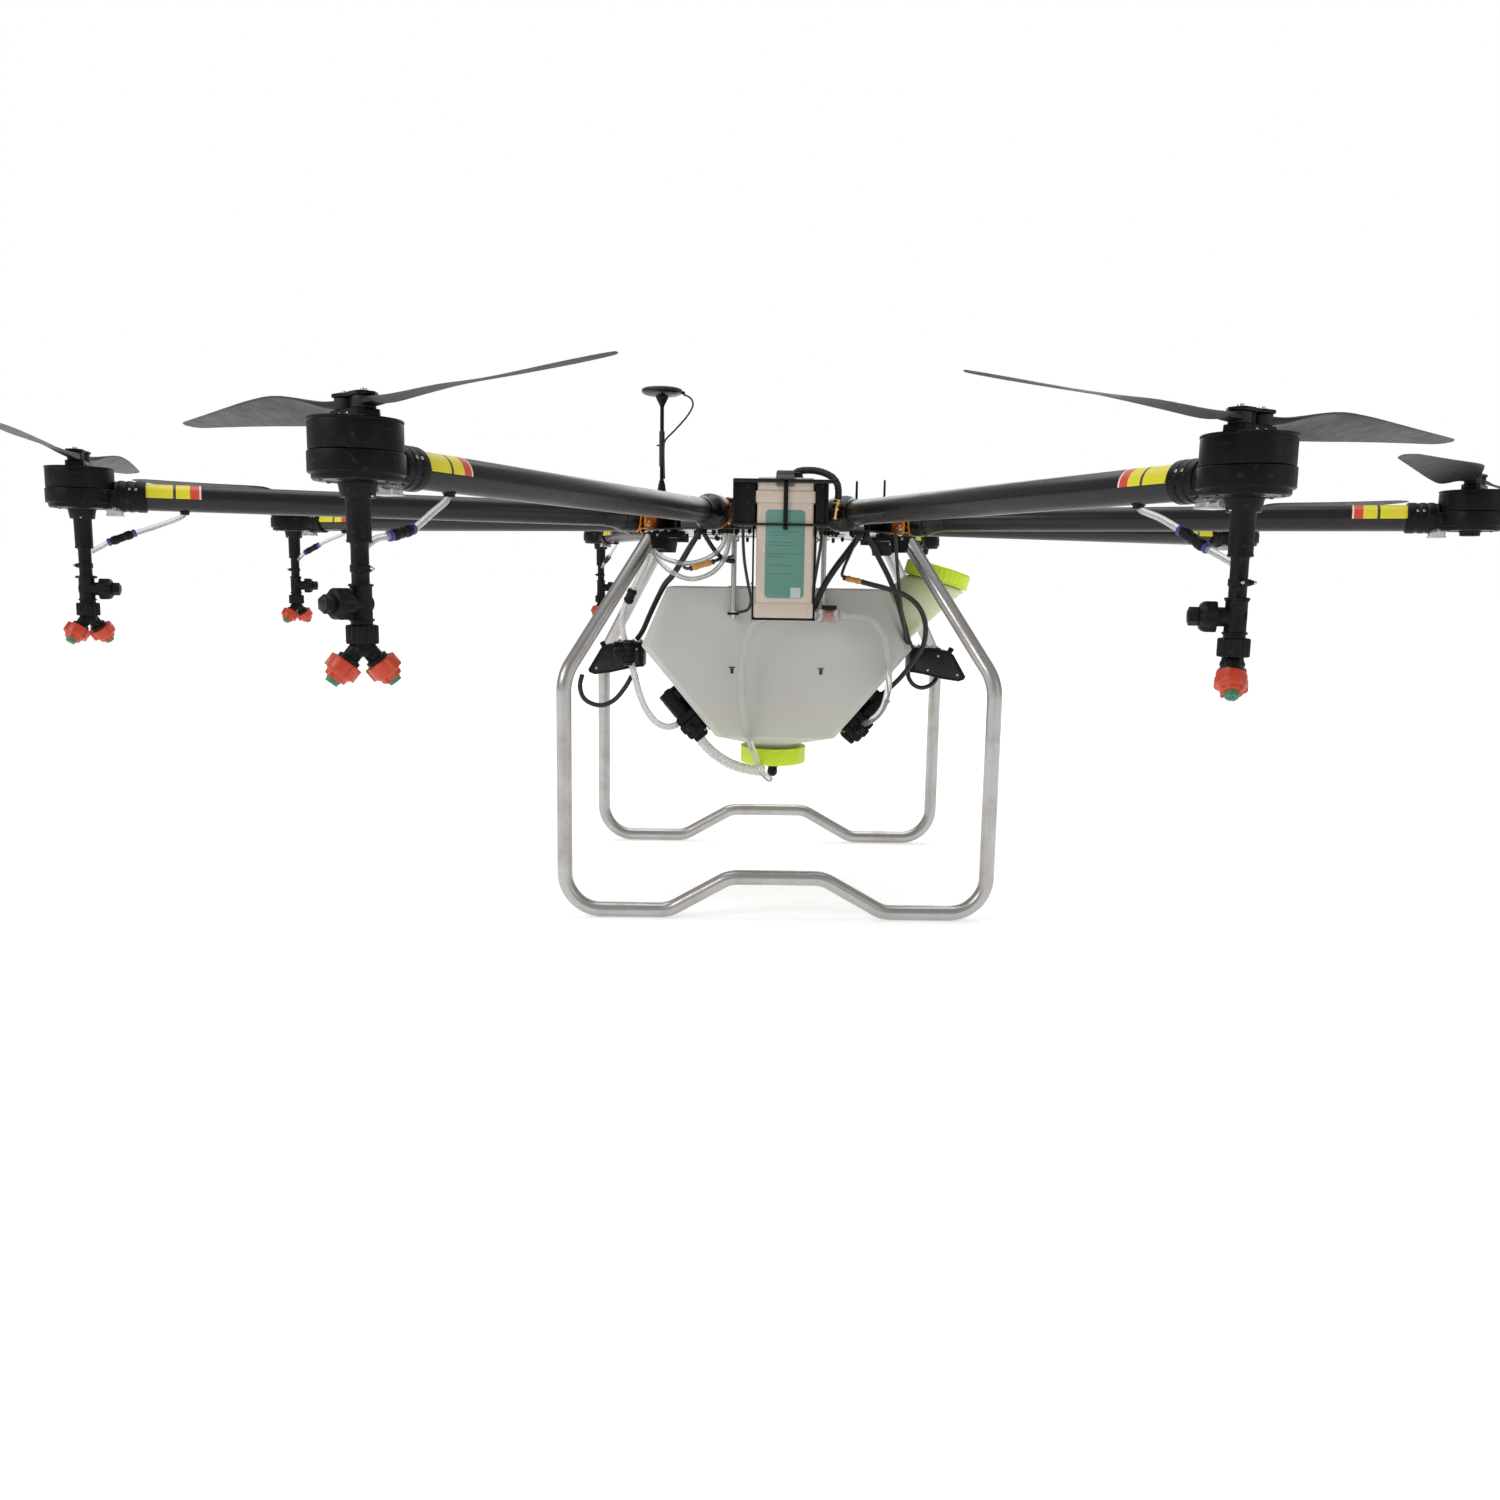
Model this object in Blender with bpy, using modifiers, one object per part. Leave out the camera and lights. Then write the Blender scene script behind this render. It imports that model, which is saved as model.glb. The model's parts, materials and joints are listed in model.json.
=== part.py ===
"""Eight-rotor agricultural spray drone: folding arms on a two-plate hub, hoop landing gear,
hanging spray tank, front battery, six drop nozzles.

Metres, +Z up. The hub axis stands at (HUB_X, HUB_Y); the skids touch z = 0.
Helper functions take millimetres and write metres."""

import math

import bmesh
import bpy
from mathutils import Matrix, Vector

MM = 0.001

# ---- driving dimensions, mm -------------------------------------------------------------
HUB_X, HUB_Y = -42.5, 86.2    # hub axis, so that the origin is under the middle of the box
PAYLOAD_X = 8.0                  # centre of gear, tank and battery, relative to the hub axis

ARM_AZIMUTH = {1: 202.1, 2: 157.9, 3: 247.1, 4: 112.9, 5: 292.9, 6: 337.9, 7: 22.1, 8: 67.1}
MOTOR_RADIUS = 1128.0            # hub axis to motor axis
ARM_Z = 676.0                    # arm tube centre line
TUBE_OUTER, TUBE_INNER = 20.0, 18.5
HINGE_RADIUS, HINGE_Z = 246.0, 661.0
COLLAR_START, COLLAR_END, COLLAR_OUTER = 262.5, 306.0, 29.0
TUBE_END = 1077.5

PLATE_RADIUS = 238.0
LOWER_PLATE_Z = (650.0, 653.3)
UPPER_PLATE_Z = (697.2, 700.2)

ESC_RADIUS, ESC_Z = 46.8, (656.4, 684.2)
BELL_RADIUS, BELL_Z = 46.0, (685.0, 716.0)
PROP_PIVOT = 17.0                # pivot bolt to motor axis
PROP_Z = 731.0                   # middle of the blade roots
BLADE_LENGTH = 364.0             # pivot to tip, so the disc is 762 mm across
BLADE_RISE = 6.0                 # tip above the root
ROTOR_AZIMUTH = {1: 105.0, 2: 63.0, 3: 138.0, 4: 12.0, 5: 32.0, 6: 47.0, 7: 119.5, 8: 170.0}
TURNS_CCW = {1: False, 2: True, 3: True, 4: False, 5: False, 6: True, 7: False, 8: True}

NOZZLE_ARMS = (1, 2, 3, 4, 5, 8)
SPLIT_AZIMUTH = {1: 240.0, 2: 240.0, 3: 205.0, 4: 245.0, 5: 250.0, 8: 250.0}
KNOB_AZIMUTH = {1: 12.0, 2: 12.0, 3: 238.0, 4: 10.0, 5: 166.0, 8: 170.0}

GEAR_TUBE = 12.5
GEAR_TOP = (225.0, 154.0, 634.0)
GEAR_KNEE = (355.0, 296.0, 405.0)
GEAR_FOOT_HALF, GEAR_HUMP_HALF, GEAR_HUMP_Z = 180.0, 78.5, 70.0

TANK_DEPTH = 125.0               # half depth
TANK_TOP = (197.0, 552.0)
TANK_BELT = (243.0, 446.0)
TANK_FLOOR = (108.0, 284.0)
TANK_WALL = 3.0
DRAIN_NECK = (48.0, 228.0, 262.0)

BATTERY = (94.0, 62.0, 219.0)    # width, depth, height
BATTERY_FRONT_Y, BATTERY_BASE_Z = -344.0, 507.0


# ---- small shape helpers ----------------------------------------------------------------
def clear_scene():
    for obj in list(bpy.data.objects):
        bpy.data.objects.remove(obj, do_unlink=True)


def collection(name):
    found = bpy.data.collections.new(name)
    bpy.context.scene.collection.children.link(found)
    return found


clear_scene()
PARTS = collection("agricultural_spray_drone")
CUTTERS = collection("cutters")
CUTTERS.hide_render = True


def material(name, colour, roughness, metallic=0.0):
    made = bpy.data.materials.new(name)
    made.use_nodes = True
    shader = made.node_tree.nodes["Principled BSDF"]
    shader.inputs["Base Color"].default_value = (*colour, 1.0)
    shader.inputs["Roughness"].default_value = roughness
    shader.inputs["Metallic"].default_value = metallic
    made.diffuse_color = (*colour, 1.0)
    return made


def turn(axis, degrees):
    return Matrix.Rotation(math.radians(degrees), 4, axis)


def shift(x=0.0, y=0.0, z=0.0):
    return Matrix.Translation((x, y, z))


def cylinder(bm, r1, r2, z0, z1, segments, place=Matrix.Identity(4)):
    """A cylinder or cone along local Z from z0 to z1."""
    bmesh.ops.create_cone(
        bm, cap_ends=True, segments=segments, radius1=r1, radius2=r2, depth=z1 - z0,
        matrix=place @ shift(z=(z0 + z1) / 2),
    )


def box(bm, x, y, z, place=Matrix.Identity(4)):
    """A box from pairs of limits."""
    size = Matrix.Diagonal((x[1] - x[0], y[1] - y[0], z[1] - z[0], 1.0))
    middle = shift((x[0] + x[1]) / 2, (y[0] + y[1]) / 2, (z[0] + z[1]) / 2)
    bmesh.ops.create_cube(bm, size=1.0, matrix=place @ middle @ size)


def prism(bm, outline, z0, z1, place=Matrix.Identity(4)):
    """A flat outline (counter-clockwise) raised from z0 to z1."""
    low = [bm.verts.new(place @ Vector((x, y, z0))) for x, y in outline]
    face = bm.faces.new(low)
    raised = bmesh.ops.extrude_face_region(bm, geom=[face])
    up = (place @ Vector((0, 0, z1))) - (place @ Vector((0, 0, z0)))
    verts = [v for v in raised["geom"] if isinstance(v, bmesh.types.BMVert)]
    bmesh.ops.translate(bm, verts=verts, vec=up)
    bmesh.ops.recalc_face_normals(bm, faces=bm.faces)


def stadium(half_length, radius, steps=4):
    """Outline of a bar with round ends, along X."""
    points = []
    for side, start in ((1, -90.0), (-1, 90.0)):
        for i in range(steps + 1):
            a = math.radians(start + 180.0 * i / steps)
            points.append((side * half_length + radius * math.cos(a), radius * math.sin(a)))
    return points


def solid(name, bm, parent=PARTS):
    """The bmesh, given in mm, as an object in metres."""
    bmesh.ops.scale(bm, vec=(MM, MM, MM), verts=bm.verts)
    mesh = bpy.data.meshes.new(name)
    bm.to_mesh(mesh)
    bm.free()
    made = bpy.data.objects.new(name, mesh)
    parent.objects.link(made)
    return made


def make(name, build):
    bm = bmesh.new()
    build(bm)
    return solid(name, bm, CUTTERS)


def turned(name, profile, segments, place=Matrix.Identity(4)):
    """A profile of (radius, z), outer side top to bottom, turned about Z with a Screw modifier."""
    bm = bmesh.new()
    ring = profile[0] == profile[-1]
    verts = [bm.verts.new((r, 0.0, z)) for r, z in (profile[:-1] if ring else profile)]
    for a, b in zip(verts, verts[1:] + (verts[:1] if ring else [])):
        bm.edges.new((a, b))
    made = solid(name, bm, CUTTERS)
    screw = made.modifiers.new("Turn", "SCREW")
    screw.axis = "Z"
    screw.steps = screw.render_steps = segments
    screw.use_merge_vertices = True
    screw.merge_threshold = 0.00001
    bake(made)
    made.data.transform(shift(*(place.translation * MM)) @ place.to_3x3().to_4x4())
    return made


def bake(obj):
    """Replaces the object's mesh with its evaluated one, welded, and drops the modifiers."""
    graph = bpy.context.evaluated_depsgraph_get()
    graph.update()
    mesh = bpy.data.meshes.new_from_object(obj.evaluated_get(graph), depsgraph=graph)
    obj.modifiers.clear()
    if obj.type == "MESH":
        obj.data = mesh
        return obj
    made = bpy.data.objects.new(obj.name, mesh)
    for coll in obj.users_collection:
        coll.objects.link(made)
    made.matrix_world = obj.matrix_world
    bpy.data.objects.remove(obj, do_unlink=True)
    bm = bmesh.new()
    bm.from_mesh(mesh)
    bmesh.ops.remove_doubles(bm, verts=bm.verts, dist=0.000001)
    bm.to_mesh(mesh)
    bm.free()
    return made


def combine(base, others, operation="UNION"):
    """Boolean of base with each of the others, which are used up."""
    for other in others:
        step = base.modifiers.new("Combine", "BOOLEAN")
        step.operation = operation
        step.solver = "EXACT"
        step.object = other
    bpy.context.view_layer.update()
    bake(base)
    for other in others:
        bpy.data.objects.remove(other, do_unlink=True)
    return base


def tube(name, points, radius, resolution=3):
    """A round tube with filled caps along a polyline, as a mesh."""
    curve = bpy.data.curves.new(name, "CURVE")
    curve.dimensions = "3D"
    curve.bevel_depth = radius * MM
    curve.bevel_resolution = resolution
    curve.use_fill_caps = True
    spline = curve.splines.new("POLY")
    spline.points.add(len(points) - 1)
    for point, place in zip(spline.points, points):
        point.co = (place[0] * MM, place[1] * MM, place[2] * MM, 1.0)
    made = bpy.data.objects.new(name, curve)
    CUTTERS.objects.link(made)
    return bake(made)


def filleted(corners, radii, steps=5):
    """A polyline with each inner corner rounded to its radius."""
    out = [Vector(corners[0])]
    for before, corner, after, radius in zip(corners, corners[1:], corners[2:], radii):
        corner = Vector(corner)
        a = (Vector(before) - corner).normalized()
        b = (Vector(after) - corner).normalized()
        half = a.angle(b) / 2
        reach = radius / math.tan(half)
        middle = corner + (a + b).normalized() * (radius / math.sin(half))
        start, end = corner + a * reach - middle, corner + b * reach - middle
        total = start.angle(end)
        for i in range(steps + 1):
            t = i / steps
            out.append(
                middle
                + (start * math.sin((1 - t) * total) + end * math.sin(t * total)) / math.sin(total)
            )
    out.append(Vector(corners[-1]))
    return out


def finish(obj, name, mat, location=(0.0, 0.0, 0.0), azimuth=0.0, sharp=35.0):
    """Names the object, puts it in the parts collection at a place given from the hub axis."""
    for coll in list(obj.users_collection):
        coll.objects.unlink(obj)
    PARTS.objects.link(obj)
    obj.name = name
    obj.data.materials.clear()
    obj.data.materials.append(mat)
    obj.data.shade_smooth()
    obj.data.set_sharp_from_angle(angle=math.radians(sharp))
    x, y, z = location
    obj.location = ((HUB_X + x) * MM, (HUB_Y + y) * MM, z * MM)
    obj.rotation_euler = (0.0, 0.0, math.radians(azimuth))
    return obj


def copy_of(source, name, location, azimuth):
    """Another object on the same mesh."""
    made = bpy.data.objects.new(name, source.data)
    PARTS.objects.link(made)
    x, y, z = location
    made.location = ((HUB_X + x) * MM, (HUB_Y + y) * MM, z * MM)
    made.rotation_euler = (0.0, 0.0, math.radians(azimuth))
    return made


def polar(radius, degrees):
    a = math.radians(degrees)
    return radius * math.cos(a), radius * math.sin(a)


# ---- materials --------------------------------------------------------------------------
CARBON = material("carbon", (0.028, 0.029, 0.032), 0.38)
BLACK_PLASTIC = material("black_plastic", (0.018, 0.018, 0.019), 0.55)
MOTOR_BLACK = material("motor_black", (0.012, 0.012, 0.013), 0.45, 0.4)
BLADE_GREY = material("blade", (0.035, 0.035, 0.037), 0.55)
ORANGE_METAL = material("orange_anodised", (0.80, 0.33, 0.03), 0.35, 0.9)
ORANGE_CAP = material("nozzle", (0.02, 0.02, 0.02), 0.5)
ALUMINIUM = material("gear_aluminium", (0.72, 0.70, 0.67), 0.38, 1.0)
TANK_WHITE = material("tank_white", (0.74, 0.73, 0.69), 0.45)
LIME = material("lime_plastic", (0.66, 0.85, 0.02), 0.4)
BATTERY_CREAM = material("battery_cream", (0.72, 0.63, 0.54), 0.5)


# ---- hub --------------------------------------------------------------------------------
def round_holes(bm, radius, hole, count, z, first=0.0):
    for i in range(count):
        x, y = polar(radius, first + 360.0 * i / count)
        cylinder(bm, hole, hole, z[0] - 5, z[1] + 5, 12, shift(x, y))


def build_hub():
    low, high = LOWER_PLATE_Z
    plate = turned("lower", [(PLATE_RADIUS, high), (PLATE_RADIUS, low), (38.0, low), (38.0, high), (PLATE_RADIUS, high)], 32)
    cuts = [make("h", lambda bm, i=i: cylinder(bm, 24, 24, low - 5, high + 5, 8, shift(*polar(120, 22.5 + 45 * i)) @ turn("Z", 45.0 * i))) for i in range(8)]
    combine(plate, cuts, "DIFFERENCE")
    yokes = []
    for azimuth in ARM_AZIMUTH.values():
        place = turn("Z", azimuth)

        outline = [(206, -17.5), (256, -17.5), (256, -12), (236, -12), (236, 12), (256, 12), (256, 17.5), (206, 17.5)]
        yokes.append(make("yoke", lambda bm, p=place: prism(bm, outline, low + 1.5, 696.8, p)))
        yokes.append(make("pin", lambda bm, p=place: cylinder(bm, 3.0, 3.0, -20.5, 20.5, 6, p @ shift(HINGE_RADIUS, 0, HINGE_Z) @ turn("X", 90))))
    combine(plate, yokes)
    finish(plate, "hub_lower_plate", ORANGE_METAL)

    low, high = UPPER_PLATE_Z
    plate = turned("upper", [(PLATE_RADIUS, high), (PLATE_RADIUS, low), (38.0, low), (38.0, high), (PLATE_RADIUS, high)], 32)
    cuts = [make("h", lambda bm, i=i: cylinder(bm, 24, 24, low - 5, high + 5, 8, shift(*polar(120, 22.5 + 45 * i)) @ turn("Z", 45.0 * i))) for i in range(8)]
    combine(plate, cuts, "DIFFERENCE")
    foot = turned("foot", [(0, 741), (5.5, 741), (6.5, 737), (9.0, 715), (15.0, 706), (15.0, 699), (0, 699)], 10, shift(-207, 4))
    combine(plate, [foot])
    finish(plate, "hub_upper_plate", CARBON)


# ---- arms, in a frame with +X outwards and the hinge axis at the origin ---------------------
def build_arm():
    x0, z0 = -HINGE_RADIUS, ARM_Z - HINGE_Z
    along = turn("Y", 90)  # local Z becomes +X

    def axis(x):
        return shift(x0 + x, 0, z0) @ along

    outer = turned("tube", [(0, TUBE_END), (TUBE_OUTER, TUBE_END), (TUBE_OUTER, COLLAR_START + 4), (0, COLLAR_START + 4)], 16, axis(0))
    collar = turned(
        "collar",
        [(0, COLLAR_END), (22.5, COLLAR_END), (COLLAR_OUTER, COLLAR_END - 11), (COLLAR_OUTER, COLLAR_START), (0, COLLAR_START)],
        16, axis(0),
    )
    bore = turned("bore", [(0, TUBE_END + 10), (TUBE_INNER, TUBE_END + 10), (TUBE_INNER, 320), (0, 320)], 8, axis(0))
    tongue = make("tongue", lambda bm: box(bm, (240.5 + x0, COLLAR_START + 3 + x0), (-11.4, 11.4), (653.9 - HINGE_Z, 692.0 - HINGE_Z)))
    combine(outer, [collar, tongue])
    eye = make("eye", lambda bm: cylinder(bm, 3.4, 3.4, -15, 15, 8, turn("X", 90)))
    combine(outer, [bore, eye], "DIFFERENCE")
    return outer


# ---- motor housings, in a frame with +X outwards and the motor axis at the origin -----------
def build_housing(with_cap):
    low, high = ESC_Z[0] - ARM_Z, ESC_Z[1] - ARM_Z
    r = ESC_RADIUS
    can = turned(
        "can",
        [(0, high), (r, high), (r, low + 6.5), (r - 4.0, low + 5.0), (r - 6.5, low), (0, low)],
        20,
    )
    along = turn("Y", -90)  # local Z becomes -X, towards the hub
    clamp = turned("clamp", [(0, 88), (23.4, 88), (23.4, 44), (0, 44)], 16, along)
    above = make("above", lambda bm: box(bm, (-49.9, -30), (-40, 40), (high - 0.3, 60)))
    combine(clamp, [above], "DIFFERENCE")
    neck = make("neck", lambda bm: box(bm, (-62, -36), (-19, 19), (low + 0.8, high - 0.6)))
    combine(can, [clamp, neck])
    bore = turned("bore", [(0, 95), (TUBE_OUTER + 0.35, 95), (TUBE_OUTER + 0.45, 50.2), (0, 50.2)], 16, along)
    combine(can, [bore], "DIFFERENCE")
    if with_cap:
        cap = turned("cap", [(0, low + 1), (15.0, low + 1), (14.0, low - 7.5), (0, low - 7.5)], 12)
        combine(can, [cap])
    return can


# ---- rotors: bell and propeller clamp, in a frame with the motor axis at the origin ----------
def build_rotor():
    low, high = BELL_Z[0] - PROP_Z, BELL_Z[1] - PROP_Z
    r = BELL_RADIUS
    bell = turned("bell", [(0, high), (r, high), (r, low), (0, low)], 20)
    lower = make("lower", lambda bm: prism(bm, stadium(PROP_PIVOT, 12.5), high - 1.0, -6.3))
    spacer = make("spacer", lambda bm: cylinder(bm, 5.2, 5.2, -8.0, 8.0, 8))
    upper = make("upper", lambda bm: prism(bm, stadium(PROP_PIVOT, 11.5), 6.3, 10.0))
    combine(bell, [lower, spacer, upper])
    return bell


# ---- blades, in a frame with the pivot at the origin and the tip towards +X ------------------
def blade_law(x):
    """Chord, thickness, pitch in degrees and sideways offset at a distance from the pivot."""
    table = (
        (9.0, 17.0, 10.5, 0.0, 0.0), (28.0, 24.0, 9.0, 8.0, 0.5), (52.0, 44.0, 7.6, 19.0, 2.0), (85.0, 59.0, 6.4, 23.0, 3.5),
        (135.0, 61.0, 5.2, 19.5, 3.5), (195.0, 54.0, 4.2, 15.5, 2.0), (255.0, 44.0, 3.4, 12.5, 0.0), (310.0, 34.0, 2.8, 10.0, -2.0),
        (348.0, 25.0, 2.2, 9.0, -3.5), (BLADE_LENGTH, 13.0, 1.6, 8.0, -5.0),
    )
    for a, b in zip(table, table[1:]):
        if x <= b[0] + 1e-6:
            t = (x - a[0]) / (b[0] - a[0])
            return [p + (q - p) * t for p, q in zip(a[1:], b[1:])]
    return list(table[-1][1:])


def build_blade(ccw):
    """The leading edge is on the side that the rotor turns towards, and is the higher one."""
    side = 1.0 if ccw else -1.0

    def loft(bm):
        rings = []
        for x in (8.0, 28.0, 52.0, 95.0, 195.0, 345.0, BLADE_LENGTH):
            chord, thick, pitch, offset = blade_law(x)
            p = math.radians(pitch)
            rise = BLADE_RISE * max(0.0, x - 28.0) / (BLADE_LENGTH - 28.0)
            ring = []
            for along, up in ((0.5, -0.1), (0.2, 0.5), (-0.5, 0.1), (0.2, -0.5)):
                y, z = along * chord, up * thick
                ring.append(bm.verts.new((x, side * (y * math.cos(p) - z * math.sin(p) + offset), y * math.sin(p) + z * math.cos(p) + rise)))
            rings.append(ring)
        for a, b in zip(rings, rings[1:]):
            for i in range(4):
                j = (i + 1) % 4
                bm.faces.new((a[i], a[j], b[j], b[i]))
        bm.faces.new(rings[0])
        bm.faces.new(rings[-1])
        bmesh.ops.recalc_face_normals(bm, faces=bm.faces)

    blade = make("loft", loft)
    root = make("root", lambda bm: cylinder(bm, 11.0, 11.0, -5.9, 5.9, 10))
    combine(root, [blade])
    return root


# ---- drop nozzles, in a frame with the motor axis at the origin, z absolute ------------------
def build_nozzle(split_azimuth, knob_azimuth):
    top = ESC_Z[0] - 0.4
    stem = turned(
        "stem",
        [(0, top), (19.0, top), (19.0, 641.0), (12.0, 641.0), (12.0, 598.0), (8.8, 597.0), (8.8, 556.0), (10.8, 555.0), (10.8, 516.0),
         (16.0, 516.0), (16.0, 498.0), (10.5, 496.0), (10.5, 486.0), (0, 484.0)],
        10,
    )
    valve = turned("valve", [(0, 47.0), (9.0, 47.0), (10.5, 35.0), (16.5, 35.0), (16.5, 19.0), (9.5, 18.0), (8.5, 0.0), (0, 0.0)], 8,
                   shift(0, 0, 537.5) @ turn("Z", knob_azimuth) @ turn("Y", 90))
    pieces = [valve]
    for side in (0.0, 180.0):
        way = turn("Z", split_azimuth + side)
        lean = shift(0, 0, 499) @ way @ turn("Y", 180 - 38)
        pieces.append(turned("branch", [(0, 51.0), (6.5, 51.0), (12.0, 45.5), (16.6, 39.5), (16.6, 25.0), (8.5, 24.0), (8.5, 0.0), (0, 0.0)], 8, lean))
    combine(stem, pieces)
    return stem


# ---- landing gear -----------------------------------------------------------------------
def build_gear(front):
    s = -1.0 if front else 1.0
    tx, ty, tz = GEAR_TOP
    kx, ky, kz = GEAR_KNEE
    half = [(tx, s * ty, tz), (kx, s * ky, kz), (kx, s * ky, GEAR_TUBE), (GEAR_FOOT_HALF, s * ky, GEAR_TUBE), (GEAR_HUMP_HALF, s * ky, GEAR_HUMP_Z)]
    corners = half + [(-x, y, z) for x, y, z in reversed(half)]
    radii = [75.0, 62.0, 55.0, 55.0]
    points = filleted(corners, radii + radii[::-1], 3)
    hoop = tube("hoop", points, GEAR_TUBE, 3)
    blocks = []
    for side in (-1, 1):
        inward = shift(side * tx, s * ty) @ turn("Z", math.degrees(math.atan2(-s * ty, -side * tx)))
        outline = [(-20, 621.0), (58, 621.0), (58, LOWER_PLATE_Z[0] - 0.4), (42, LOWER_PLATE_Z[0] - 0.4), (42, 645.0), (-20, 645.0)]
        blocks.append(make("clamp", lambda bm, p=inward: prism(bm, outline, -18, 18, p @ turn("X", 90))))
    combine(hoop, blocks)
    return hoop


# ---- spray tank -------------------------------------------------------------------------
def tank_hull(bm, inset):
    d = TANK_DEPTH - inset
    slope = inset * 1.25
    rings = (
        (TANK_TOP[0] - slope, TANK_TOP[1] - inset), (TANK_BELT[0] - slope, TANK_BELT[1]), (TANK_FLOOR[0] - slope * 0.6, TANK_FLOOR[1] + inset),
    )
    for half, z in rings:
        r = 14.0
        for sx in (-1, 1):
            for sy in (-1, 1):
                bm.verts.new((sx * half, sy * (d - r), z))
                bm.verts.new((sx * (half - r), sy * d, z))
    for i in range(16):
        x, y = polar(56.0 - inset, 22.5 * i)
        bm.verts.new((x, y, DRAIN_NECK[2] + inset))
    hull = bmesh.ops.convex_hull(bm, input=bm.verts)
    loose = [g for g in hull["geom_interior"] + hull["geom_unused"] if isinstance(g, bmesh.types.BMVert)]
    if loose:
        bmesh.ops.delete(bm, geom=list(set(loose)), context="VERTS")
    bmesh.ops.recalc_face_normals(bm, faces=bm.faces)


FILLER_TILT = 16.0
FILLER_MOUTH = (304.0, 0.0, 590.0)
FILLER_PLACE = shift(*FILLER_MOUTH) @ turn("Y", FILLER_TILT)


def filler_hull(bm, inset):
    """Skewed cone from under the screw cap down into the tank's shoulder."""
    for place, radius in ((FILLER_PLACE @ shift(z=-26.0 - inset), 56.0 - inset), (shift(200.0, 0.0, 479.0) @ turn("Y", 40.0), 50.0 - inset)):
        for i in range(16):
            x, y = polar(radius, 22.5 * i)
            bm.verts.new(place @ Vector((x, y, 0)))
    bmesh.ops.convex_hull(bm, input=bm.verts)
    bmesh.ops.recalc_face_normals(bm, faces=bm.faces)


def build_tank():
    body = make("body", lambda bm: tank_hull(bm, 0.0))
    filler = make("filler", lambda bm: filler_hull(bm, 0.0))
    mouth = turned("mouth", [(0, 0.0), (50.0, 0.0), (50.0, -30.0), (0, -30.0)], 20, FILLER_PLACE)
    r, low, high = DRAIN_NECK
    neck = turned("neck", [(0, high + 6), (r, high + 6), (r, low), (0, low)], 20)
    combine(body, [filler, mouth, neck])
    inside = make("inside", lambda bm: tank_hull(bm, TANK_WALL))
    filler_bore = make("filler_bore", lambda bm: filler_hull(bm, 3.5))
    mouth_bore = turned("mouth_bore", [(0, 10.0), (45.5, 10.0), (45.5, -34.0), (0, -34.0)], 20, FILLER_PLACE)
    neck_bore = turned("neck_bore", [(0, high + 12), (r - 5, high + 12), (r - 5, low - 8), (0, low - 8)], 20)
    combine(inside, [filler_bore, mouth_bore, neck_bore])
    combine(body, [inside], "DIFFERENCE")
    rods = []
    for sx in (-1, 1):
        for sy in (-1, 1):
            def rod(bm, sx=sx, sy=sy):
                cylinder(bm, 4.5, 4.5, 506.0, LOWER_PLATE_Z[0] - 0.4, 8, shift(sx * 79.0, sy * (TANK_DEPTH + 7.0)))
            def foot(bm, sx=sx, sy=sy):
                box(bm, (sx * 79.0 - 9, sx * 79.0 + 9), tuple(sorted((sy * (TANK_DEPTH - 1.0), sy * (TANK_DEPTH + 12.5)))), (504.0, 509.0))
            rods += [make("rod", rod), make("foot", foot)]
    combine(body, rods)
    return body


def build_cap(radius, inner, height, thick):
    """A screw cap as a cup, mouth down, its inner floor at z = 0."""
    return turned(
        "cap",
        [(0, thick), (radius - 3.0, thick), (radius, thick - 3.0), (radius, thick - height), (inner, thick - height), (inner, 0.0), (0, 0.0)],
        20,
    )


# ---- the rest ---------------------------------------------------------------------------
def build_tray():
    w, d, h = BATTERY
    y0 = BATTERY_FRONT_Y
    y1 = y0 + d
    z0, z1 = 651.0, 723.0
    back = make("back", lambda bm: box(bm, (-66, 66), (y1 + 0.8, y1 + 4.0), (z0, z1)))
    pieces = []
    for s in (-1, 1):
        cheek = [(w / 2 + 0.8, y0 + 6), (83.0, y0 + 6), (83.0, y0 + 38), (67.0, y1 + 2), (w / 2 + 0.8, y1 + 2)]
        if s < 0:
            cheek = [(-x, y) for x, y in reversed(cheek)]
        pieces.append(make("cheek", lambda bm, o=cheek: prism(bm, o, z0, z1)))
        pieces.append(make("mount", lambda bm, s=s: box(bm, (s * 40 - 14, s * 40 + 14), (y1 + 3, -216.0), (LOWER_PLATE_Z[1] + 0.4, 664.0))))
        pieces.append(make("bar", lambda bm, s=s: box(bm, (s * 49.5 - 1.5, s * 49.5 + 1.5), (y0 + 24, y0 + 38), (503.0, z0 + 4))))
        lo, hi = sorted((s * 80.0, s * 83.0))
        pieces.append(make("side", lambda bm, a=lo, b=hi: box(bm, (a, b), (y0 - 4, y0 + 30), (z0, z1))))
    pieces.append(make("top", lambda bm: box(bm, (-83, 83), (y0 - 4, y0 - 0.8), (z1 - 5.0, z1))))
    pieces.append(make("low", lambda bm: box(bm, (-83, 83), (y0 - 4, y0 - 0.8), (z0, z0 + 4))))
    pieces.append(make("strap", lambda bm: box(bm, (-3.5, 3.5), (y0 - 4, y0 - 0.8), (z0 + 1, z1 - 1))))
    pieces.append(make("shelf", lambda bm: box(bm, (-51, 51), (y0 + 4, y1 - 4), (503.0, BATTERY_BASE_Z - 0.4))))
    combine(back, pieces)
    return back


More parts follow.
